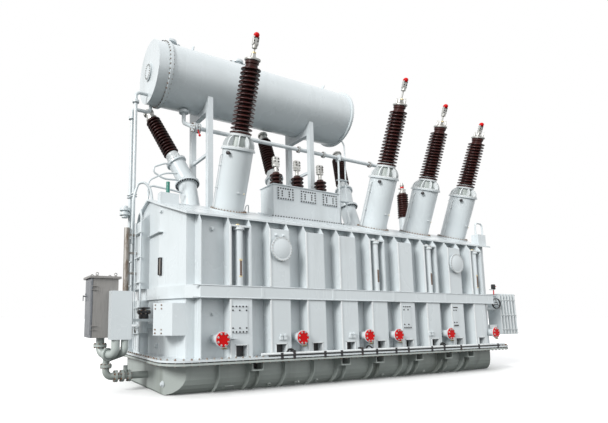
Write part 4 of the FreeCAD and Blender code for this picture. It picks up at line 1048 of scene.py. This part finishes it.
for i, x in enumerate((-2.95, -2.62, -1.75, -1.25, -0.60, -0.12, 0.55, 1.0, 1.9, 2.4, 3.1, 3.9, 4.8)):
    height = 0.12 if i in (1, 4, 9) else 0.075
    clips.slab((x - 0.036, RUN_Y - 0.036, FLANGE_LOW.z - 0.03),
               (x + 0.036, RUN_Y + 0.085, FLANGE_HIGH.z + height))
    clips.slab((x + 0.04, RUN_Y - 0.02, FLANGE_HIGH.z), (x + 0.075, RUN_Y + 0.04, FLANGE_HIGH.z + 0.05))
clips.piece("conduit_clips", "dark_steel")
run.piece("flange_conduit", "white_paint")

lips = Shape()
LIP = 0.022
for z in (BAND_HIGH.z - LIP, BAND_LOW.z):
    lips.slab((BAND_LOW.x + 0.30, BAND_LOW.y - 0.012, z), (BAND_HIGH.x - 0.30, BAND_LOW.y + 0.02, z + LIP))
for x in (-3.37, -1.37, 0.66, 2.70):
    lips.slab((x - 0.04, BAND_LOW.y - 0.006, BAND_LOW.z + LIP),
              (x + 0.04, BAND_LOW.y + 0.01, BAND_HIGH.z - LIP))
lips.piece("band_lips", "grey_paint")
print("front wall done")

# %% [markdown]
# ## On the cover
# The low-voltage box is bolted round its foot and round its three plates. The conservator's end flanges,
# vents and ports are bolted too.

# %% Low-voltage box
LV_LOW, LV_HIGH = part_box("lv_box")
LV_PLATE_LOW, LV_PLATE_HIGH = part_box("lv_inspection_plates")
rows = []
LV_PLATE_X = (-1.780, -1.020, -0.260)
for x in LV_PLATE_X:
    middle = (LV_PLATE_LOW.z + LV_PLATE_HIGH.z) / 2
    for half_x, half_z, across, up in ((0.234, 0.139, 7, 4), (0.115, 0.060, 2, 2)):
        for i in range(across):
            along = x - half_x + 2 * half_x * i / (across - 1)
            rows += [((along, LV_PLATE_LOW.y, middle + z), OUT) for z in (-half_z, half_z)]
        for i in range(1, up):
            z = middle - half_z + 2 * half_z * i / up
            rows += [((along, LV_PLATE_LOW.y, z), OUT) for along in (x - half_x, x + half_x)]
bolts("lv_plate_bolts", rows, 0.016, "dark_steel", seed=41)

rows = []
count = int((LV_HIGH.x - LV_LOW.x) / 0.085)
for i in range(count):
    x = LV_LOW.x + 0.04 + (LV_HIGH.x - LV_LOW.x - 0.08) * i / (count - 1)
    y = -0.740 - 0.055
    rows.append(((x, y, roof(y) + 0.032), FRONT_NORMAL))
bolts("lv_foot_bolts", rows, 0.018, "dark_steel", seed=42)
print("low-voltage box bolted")

# %% Conservator
rows = []
AXIS_Y = 0.500
AXIS_Z = 8.0797
for x, axis in ((-4.936, LEFT), (-4.864, ALONG)):
    rows += bolt_circle(44, 0.853, 0.0, stand((x, AXIS_Y, AXIS_Z), axis))
bolts("conservator_flange_bolts", rows, 0.016, "rusty_bolt", seed=51)
end_low, end_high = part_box("conservator_right_end")
rows = bolt_circle(44, 0.852, 0.0, stand((end_high.x, AXIS_Y, AXIS_Z), ALONG))
rows += bolt_circle(44, 0.852, 0.0, stand((end_low.x, AXIS_Y, AXIS_Z), LEFT))
bolts("conservator_end_bolts", rows, 0.016, "rusty_bolt", seed=52)
port_low, port_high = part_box("conservator_left_end")
rows = bolt_circle(20, 0.185, -0.002, stand((port_low.x, AXIS_Y, AXIS_Z), LEFT))
bolts("conservator_port_bolts", rows, 0.016, "plated_bolt", seed=53)
print("conservator bolted")

# %% [markdown]
# The gas pipe under the conservator is made up of lengths with bolted flanges. It has a valve beside its
# nozzle, and two thin pipes come down from it and from the conservator's right end to the cover.

# %% Pipework under the conservator
GAS_Y, GAS_Z = 0.142, 6.620
joints = Shape()
rows = []
for x in (-4.10, -4.06, -3.95, -3.91, -0.62, -0.58, 0.34, 0.38, 1.00, 1.04, 2.30, 2.34):
    place = stand((x, GAS_Y, GAS_Z), ALONG)
    big = 0.135 if x < -3 else 0.098
    joints.ring(0.05, big, -0.011, 0.011, place, 32, 0.003)
    rows += bolt_circle(8, big - 0.024, -0.011, place, flip=True)
joints.slab((-4.055, GAS_Y - 0.085, GAS_Z - 0.11), (-3.955, GAS_Y + 0.085, GAS_Z + 0.11), ease=0.02)
joints.slab((0.93, GAS_Y - 0.09, GAS_Z - 0.11), (1.00, GAS_Y + 0.09, GAS_Z + 0.09), ease=0.01)
joints.tube([(0.960, GAS_Y, GAS_Z - 0.08), (0.960, GAS_Y, roof(GAS_Y) - 0.02)], 0.030, 0.05)
joints.tube([(1.120, AXIS_Y - 0.30, AXIS_Z - 0.76), (1.290, AXIS_Y - 0.30, AXIS_Z - 0.95),
             (1.290, AXIS_Y - 0.30, roof(0.20) - 0.02)], 0.024, 0.12)
for z in (5.2, 5.9):
    joints.slab((0.925, GAS_Y - 0.04, z), (1.325, AXIS_Y - 0.26, z + 0.02))
joints.piece("gas_pipe_joints", "grey_paint")
bolts("gas_pipe_bolts", rows, 0.016, "rusty_bolt", seed=61)
lever = Shape()
lever.tube([(-4.000, GAS_Y - 0.07, GAS_Z - 0.06), (-3.960, GAS_Y - 0.11, GAS_Z - 0.22)], 0.014, 0.02)
lever.ball(0.034, shift((-3.955, GAS_Y - 0.115, GAS_Z - 0.235)))
lever.piece("valve_lever", "red_enamel")
print("gas pipe dressed")

# %% Cable pipes beside the first medium-voltage turret
bends = Shape()
bends.tube([(-4.62, 0.36, 5.56), (-4.80, 0.30, 5.57), (-5.12, 0.30, 5.42), (-5.12, 0.30, 5.28),
            (-4.85, 0.30, 5.14), (-4.40, 0.40, 5.20)], 0.024, 0.14)
bends.tube([(-4.45, 0.36, 5.36), (-4.82, 0.30, 5.30), (-5.26, 0.30, 5.04), (-5.26, 0.30, roof(0.30) - 0.03)],
           0.022, 0.14)
bends.tube([(-4.30, 0.38, 4.86), (-4.67, 0.30, 4.88), (-5.21, 0.30, 4.92), (-5.30, 0.30, roof(0.30) - 0.03)],
           0.026, 0.10)
bends.tube([(-5.16, 0.20, roof(0.20) - 0.03), (-5.22, 0.22, 4.80), (-5.36, 0.28, 4.97), (-5.50, 0.36, 4.95),
            (-5.60, 0.40, 4.60), (-5.62, 0.40, 3.80), (-5.62, 0.40, 3.40)], 0.034, 0.14)
bends.piece("turret_cable_pipes", "grey_paint")
print("cable pipes done")

# %% Lifting lugs and vents on the conservator
lugs = Shape()
for x in (-4.15, 0.35):
    place = stand((x, AXIS_Y - 0.42, AXIS_Z + 0.70), (0, -0.5, 0.86))
    lugs.slab((-0.012, -0.06, -0.02), (0.012, 0.06, 0.10), place)
lugs.piece("conservator_lugs", "grey_paint")

tees = Shape()
rows = []
for x in (-4.635, -2.507):
    axis = stand((x - 0.22, AXIS_Y, 9.020), ALONG)
    tees.lathe([(0.052, 0.0), (0.052, 0.44)], axis, 24)
    for along in (0.0, 0.055, 0.385, 0.44):
        tees.ring(0.03, 0.092, along - 0.012, along + 0.012, axis, 28, 0.003)
    rows += bolt_circle(6, 0.075, -0.012, axis, flip=True) + bolt_circle(6, 0.075, 0.452, axis)
    rows += bolt_circle(8, 0.150, -0.035, shift((x, AXIS_Y, 9.125)))
tees.piece("vent_tees", "grey_paint")
bolts("vent_bolts", rows, 0.013, "dark_steel", seed=55)
print("cover and conservator dressed")

# %% [markdown]
# ## Left end
# Pipes come down the end wall to a gate valve. Beside it stand the control cabinet, whose door is a body
# of its own, and a junction box with its bolted neighbour on the tank's corner.

# %% Fittings on the end wall
BEVEL_OUT = Vector((-0.972, -0.233, 0))
end = Shape()
frame_place = stand((-5.2815, -0.777, 2.73), BEVEL_OUT, UP)
for x0, x1, y0, y1 in ((-0.20, 0.20, 0.042, 0.056), (-0.20, 0.20, -0.056, -0.042), (0.186, 0.20, -0.05, 0.05),
                       (-0.20, -0.186, -0.05, 0.05)):
    end.slab((x0, y0, -0.01), (x1, y1, 0.05), frame_place)
end.piece("gauge_frame", "dark_steel")
Shape().slab((-0.188, -0.044, 0.0), (0.188, 0.044, 0.022), frame_place).piece("gauge_glass", "aged_pipe")

knobs = Shape()
KNOBS = (((-5.281, -0.78, 3.99), BEVEL_OUT, 0.030), ((-5.30, -0.64, 0.963), LEFT, 0.042),
         ((-5.398, -1.306, 0.225), (-1, -0.07, 0), 0.040), ((-4.454, -1.70, 3.498), OUT, 0.040),
         ((-4.453, -1.70, 1.663), OUT, 0.030), ((-2.99, -2.0, 3.44), OUT, 0.024),
         ((-2.79, -2.0, 3.44), OUT, 0.024))
for point, outward, radius in KNOBS:
    knobs.lathe([(radius * 1.7, -0.01), (radius * 1.7, 0.010), (radius * 1.1, 0.014), (radius, 0.045),
                 (radius * 0.7, 0.052)], stand(point, outward), 24)
knobs.slab((-5.375, -0.86, 3.50), (-5.24, -0.06, 3.515))
knobs.piece("wall_fittings", "grey_paint")
print("end wall fittings done")

# %% Thin pipes on the end wall
risers = Shape()
risers.tube([(-5.535, -0.07, 0.80), (-5.535, -0.07, 4.02), (-5.50, 0.10, 4.20)], 0.024, 0.10)
risers.tube([(-5.560, 0.30, 0.84), (-5.560, 0.30, 3.90)], 0.018, 0.10)
for z in (1.15, 1.75, 2.35, 2.95, 3.55):
    risers.slab((-5.61, 0.56, z), (-5.49, 0.84, z + 0.035))
    risers.slab((-5.575, -0.10, z + 0.05), (-5.49, 0.33, z + 0.075))
for x, y in ((-5.58, 0.78), (-5.545, 0.60), (-5.535, -0.07)):
    for z in (1.30, 1.36, 4.66, 4.72):
        if z < 3 or y > 0:
            risers.ring(0.020, 0.085, -0.010, 0.010, shift((x, y, z)), 28, 0.003)
risers.piece("end_risers", "grey_paint")
print("end wall pipes done")

# %% Gate valve and pipe flanges
wheel = Shape()
VALVE = Vector((-5.545, -0.430, 0))
hub = shift(VALVE + Vector((0, 0, 1.800)))
wheel.tube([hub @ p for p in ring_of(28, 0.130)], 0.014, closed=True)
for inner, rim in zip(ring_of(4, 0.02, 0, math.pi / 4), ring_of(4, 0.13, 0, math.pi / 4)):
    wheel.tube([hub @ inner, hub @ rim], 0.010, 0.02, 8)
wheel.lathe([(0.156, 1.688), (0.156, 1.737), (0.10, 1.745), (0.045, 1.78), (0.04, 1.82)],
            shift(VALVE), 36)
wheel.lathe([(0.105, 1.56), (0.115, 1.60), (0.105, 1.66), (0.12, 1.69)], shift(VALVE), 28)
wheel.piece("valve_wheel", "dark_steel")
rows = bolt_circle(8, 0.130, 1.737, shift(VALVE))
rows += bolt_circle(8, 0.130, 1.688, shift(VALVE), flip=True)
for point, axis, radius in (((-6.60, -0.85, 0.995), -UP, 0.112), ((-6.60, -0.85, 1.045), UP, 0.112),
                            ((-6.37, -0.43, 0.580), UP, 0.102), ((-6.37, -0.43, 0.530), -UP, 0.102)):
    rows += bolt_circle(6, radius, 0.0, stand(point, axis))
for x, axis in ((-6.18, LEFT), (-6.13, ALONG), (-6.04, LEFT), (-5.99, ALONG), (-5.89, LEFT), (-5.84, ALONG)):
    rows += bolt_circle(6, 0.102, 0.0, stand((x, -0.43, 0.330), axis))
bolts("pipe_flange_bolts", rows, 0.019, "rusty_bolt", seed=71)
print("gate valve done")

# %% Corner box and the cabinet's lifting eyes
CORNER_OUT = Vector((-0.707, -0.707, 0))
left_edge = Vector((-5.657, -1.397, 0))
step = (Vector((-5.354, -1.700, 0)) - left_edge).normalized()
rows = []
for along in (0.045, 0.185):
    for z in (1.27, 1.345, 1.77, 1.845):
        rows.append((left_edge + step * along + UP * z, CORNER_OUT))
bolts("corner_box_bolts", rows, 0.014, "rusty_bolt", seed=72)

cabinet = Shape()
ROOF_LOW, ROOF_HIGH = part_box("cabinet_roof")
for x in (ROOF_LOW.x + 0.16, ROOF_HIGH.x - 0.10):
    for y in (ROOF_LOW.y + 0.10, ROOF_HIGH.y - 0.10):
        cabinet.lathe([(0.032, 0), (0.032, 0.012), (0.014, 0.016), (0.014, 0.03)],
                      shift((x, y, ROOF_HIGH.z)), 16)
        loop = stand((x, y, ROOF_HIGH.z + 0.048), (0, 1, 0))
        cabinet.tube([loop @ p for p in ring_of(16, 0.026)], 0.008, segments=8, closed=True)
cabinet.piece("cabinet_eyes", "cabinet_steel")
print("corner box and lifting eyes done")

# %% [markdown]
# Behind the cabinet's door a back plate carries rails of terminal blocks with wiring ducts between them.

# %% Inside the control cabinet
inside = Shape()
CAVITY_X, CAVITY_Y0, CAVITY_Y1 = -6.350, -1.130, -0.570
RAIL_Z = (1.42, 1.66, 1.90)
BLOCKS = 26
BLOCK_PITCH = 0.0165
inside.slab((CAVITY_X - 0.020, CAVITY_Y0 + 0.03, 1.25), (CAVITY_X - 0.012, CAVITY_Y1 - 0.03, 2.31))
for z in RAIL_Z:
    inside.slab((CAVITY_X - 0.035, CAVITY_Y0 + 0.05, z), (CAVITY_X - 0.020, CAVITY_Y1 - 0.05, z + 0.03))
inside.piece("cabinet_back_plate", "white_paint")
blocks = Shape()
for z in RAIL_Z:
    for i in range(BLOCKS):
        y = CAVITY_Y0 + 0.07 + i * BLOCK_PITCH
        blocks.slab((CAVITY_X - 0.085, y, z - 0.022), (CAVITY_X - 0.035, y + 0.0145, z + 0.052), ease=0.002)
blocks.piece("terminal_rows", "cream_plastic")
rows = []
for z in RAIL_Z:
    for i in range(BLOCKS):
        y = CAVITY_Y0 + 0.0773 + i * BLOCK_PITCH
        rows += [((CAVITY_X - 0.085, y, z + up), LEFT) for up in (0.0, 0.032)]
bolts("terminal_screws", rows, 0.0042, "brass", seed=73)
ducts = Shape()
for z in (1.53, 1.77, 2.02):
    ducts.slab((CAVITY_X - 0.075, CAVITY_Y0 + 0.05, z), (CAVITY_X - 0.020, CAVITY_Y1 - 0.05, z + 0.045))
ducts.slab((CAVITY_X - 0.10, CAVITY_Y0 + 0.08, 2.12), (CAVITY_X - 0.020, CAVITY_Y0 + 0.30, 2.27), ease=0.006)
ducts.slab((CAVITY_X - 0.09, CAVITY_Y1 - 0.22, 2.13), (CAVITY_X - 0.020, CAVITY_Y1 - 0.08, 2.25), ease=0.006)
ducts.piece("wiring_ducts", "aged_pipe")
print("terminal blocks:", BLOCKS * len(RAIL_Z))

# %% [markdown]
# The inner panel, its latch plate and the seal turn with the door, so they ride on the door's body.

# %% Door panel and seal
DOOR_LOW, DOOR_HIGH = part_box("cabinet_door")
door_x = CAVITY_X - 0.526
panel = Shape()
panel.slab((door_x - 0.005, -1.105, DOOR_LOW.z + 0.06), (door_x + 0.004, -0.595, DOOR_HIGH.z - 0.06),
           ease=0.003)
panel.slab((door_x - 0.009, -0.640, 1.93), (door_x - 0.004, -0.590, 2.10), ease=0.003)
panel.lathe([(0.012, 0), (0.012, 0.008), (0.007, 0.010)], stand((door_x - 0.008, -0.615, 2.075), LEFT), 16)
# The panel takes the darker stainless, which is painted shade on the door.
panel.piece("door_panel", "cabinet_door_shaded_steel", DOOR)
seal = Shape()
for y0, y1, z0, z1 in ((-1.13, -1.115, 1.22, 2.34), (-0.585, -0.57, 1.22, 2.34),
                       (-1.115, -0.585, 1.22, 1.235), (-1.115, -0.585, 2.325, 2.34)):
    seal.slab((door_x + 0.028, y0, z0), (door_x + 0.035, y1, z1), ease=0.002)
seal.piece("door_seal", "black_rubber", DOOR)
print("left end done")

# %% [markdown]
# ## Right end
# The cooler's fins have folded edges held by tie bars. A round gauge and a small valve sit beside them.

# %% Right end
FIN_LOW, FIN_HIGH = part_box("cooler")
fins = Shape()
FIN_X = [5.720 + 0.158 * i for i in range(6)]
for x in FIN_X:
    fins.tube([(x, FIN_LOW.y - 0.004, 2.325), (x + 0.045, FIN_LOW.y - 0.004, 1.065)], 0.012, 0.02, 8)
    fins.tube([(x + 0.023, FIN_LOW.y - 0.004, 2.325), (x + 0.068, FIN_LOW.y - 0.004, 1.065)], 0.010, 0.02, 8)
for z, lean in ((1.22, 0.040), (1.66, 0.024), (2.14, 0.007)):
    fins.tube([(5.70 + lean, FIN_LOW.y - 0.016, z), (6.53 + lean, FIN_LOW.y - 0.016, z)], 0.008, 0.02, 8)
fins.piece("cooler_edges", "white_paint")
rows = []
for x in FIN_X:
    for z, lean in ((1.10, 0.045), (2.29, 0.0)):
        rows.append(((x + lean + 0.012, FIN_LOW.y - 0.010, z), OUT))
bolts("cooler_bolts", rows, 0.014, "plated_bolt", seed=81)
gauge = Shape()
dial = stand((5.50, -1.72, 2.02), (-0.2, -1, 0))
gauge.ring(0.145, 0.165, -0.01, 0.03, dial, 36, 0.004)
gauge.lathe([(0.035, -0.03), (0.035, 0.03), (0.02, 0.05)], dial, 20)
for inner, rim in zip(ring_of(3, 0.02, 0.01, math.pi / 2), ring_of(3, 0.15, 0.01, math.pi / 2)):
    gauge.tube([dial @ inner, dial @ rim], 0.011, 0.02, 8)
gauge.tube([(5.50, -1.70, 2.02), (5.50, -1.45, 2.02)], 0.02, 0.05)
gauge.lathe([(0.05, 2.46), (0.06, 2.48), (0.06, 2.60), (0.045, 2.62)], shift((5.46, -1.70, 0)), 20)
gauge.piece("right_valve_wheel", "dark_steel")
tap = Shape()
tap.tube([(5.46, -1.70, 2.30), (5.46, -1.70, 2.47)], 0.016, 0.02)
tap.tube([(5.46, -1.70, 2.54), (5.60, -1.70, 2.56)], 0.010, 0.02)
tap.piece("right_tap", "red_enamel")
brace = Shape()
brace.slab((5.30, -1.72, 2.44), (5.48, -1.66, 2.47)).slab((5.30, -1.47, 1.99), (5.52, -1.41, 2.05))
brace.slab((5.28, -1.62, 1.00), (5.66, -1.60, 1.36), ease=0.01)
brace.slab((5.64, -1.62, 1.00), (5.66, -1.30, 1.36), ease=0.01)
brace.piece("right_brackets", "white_paint")
print("right end done")

# %% [markdown]
# ## Stage
# A pale floor, a white surround and two broad lights: one from high on the left and a weaker one from
# the front. The surround is dark below the horizon, so undersides stay darker than the sides.


# %% Floor
def floor_finish():
    material, graph, shader = new_material("pale floor")
    feed(graph, shader, Base_Color=(0.95, 0.955, 0.96, 1), Roughness=0.85, Specular_IOR_Level=0.1)
    return material


floor_mesh = bpy.data.meshes.new("floor")
FAR = 400
floor_mesh.from_pydata([(-FAR, -FAR, 0), (FAR, -FAR, 0), (FAR, FAR, 0), (-FAR, FAR, 0)], [], [(0, 1, 2, 3)])
floor_mesh.materials.append(floor_finish())
floor = linked("floor", floor_mesh)
floor.visible_diffuse = False
floor.visible_glossy = False
print("floor reaches", FAR, "m")


# %% Lights and surround
def sun(name, direction, strength, spread, colour=(1, 1, 1)):
    """A broad light shining along direction; spread in degrees softens its shadows."""
    data = bpy.data.lights.new(name, "SUN")
    data.energy = strength
    data.angle = math.radians(spread)
    data.color = colour
    linked(name, data).rotation_euler = Vector(direction).to_track_quat("-Z", "Y").to_euler()


sun("key", (0.86, 0.32, -0.44), 3.2, 20, (1.0, 0.995, 0.98))
sun("fill", (-0.35, 0.85, -0.45), 0.45, 50, (0.97, 0.985, 1))

world = bpy.data.worlds.new("surround")
bpy.context.scene.world = world
world.use_nodes = True
sky = Graph(world.node_tree)
direction = sky.node("ShaderNodeTexCoord")
climb = sky.value("ShaderNodeSeparateXYZ", {}, {"Vector": direction.outputs["Generated"]}, out=2)
above = step_between(sky, climb, -0.22, -0.01)
surround = world.node_tree.nodes["Background"]
world.node_tree.links.new(blend(sky, above, (0.13, 0.14, 0.135, 1), (1, 1, 1, 1)).socket,
                          surround.inputs["Color"])

print("two suns and a surround")

# %% Camera
lens = bpy.data.cameras.new("view")
lens.lens = 26.11
lens.sensor_width = 36
lens.shift_x = 0.149
lens.shift_y = 0.081
lens.clip_end = 500
camera = linked("view", lens)
camera.location = (-8.675, -10.124, 1.6)
camera.rotation_euler = (math.radians(90 + 7.27), 0, math.radians(-26.8))
bpy.context.scene.camera = camera
bpy.context.scene.view_settings.view_transform = "Standard"
print("camera at", tuple(camera.location))
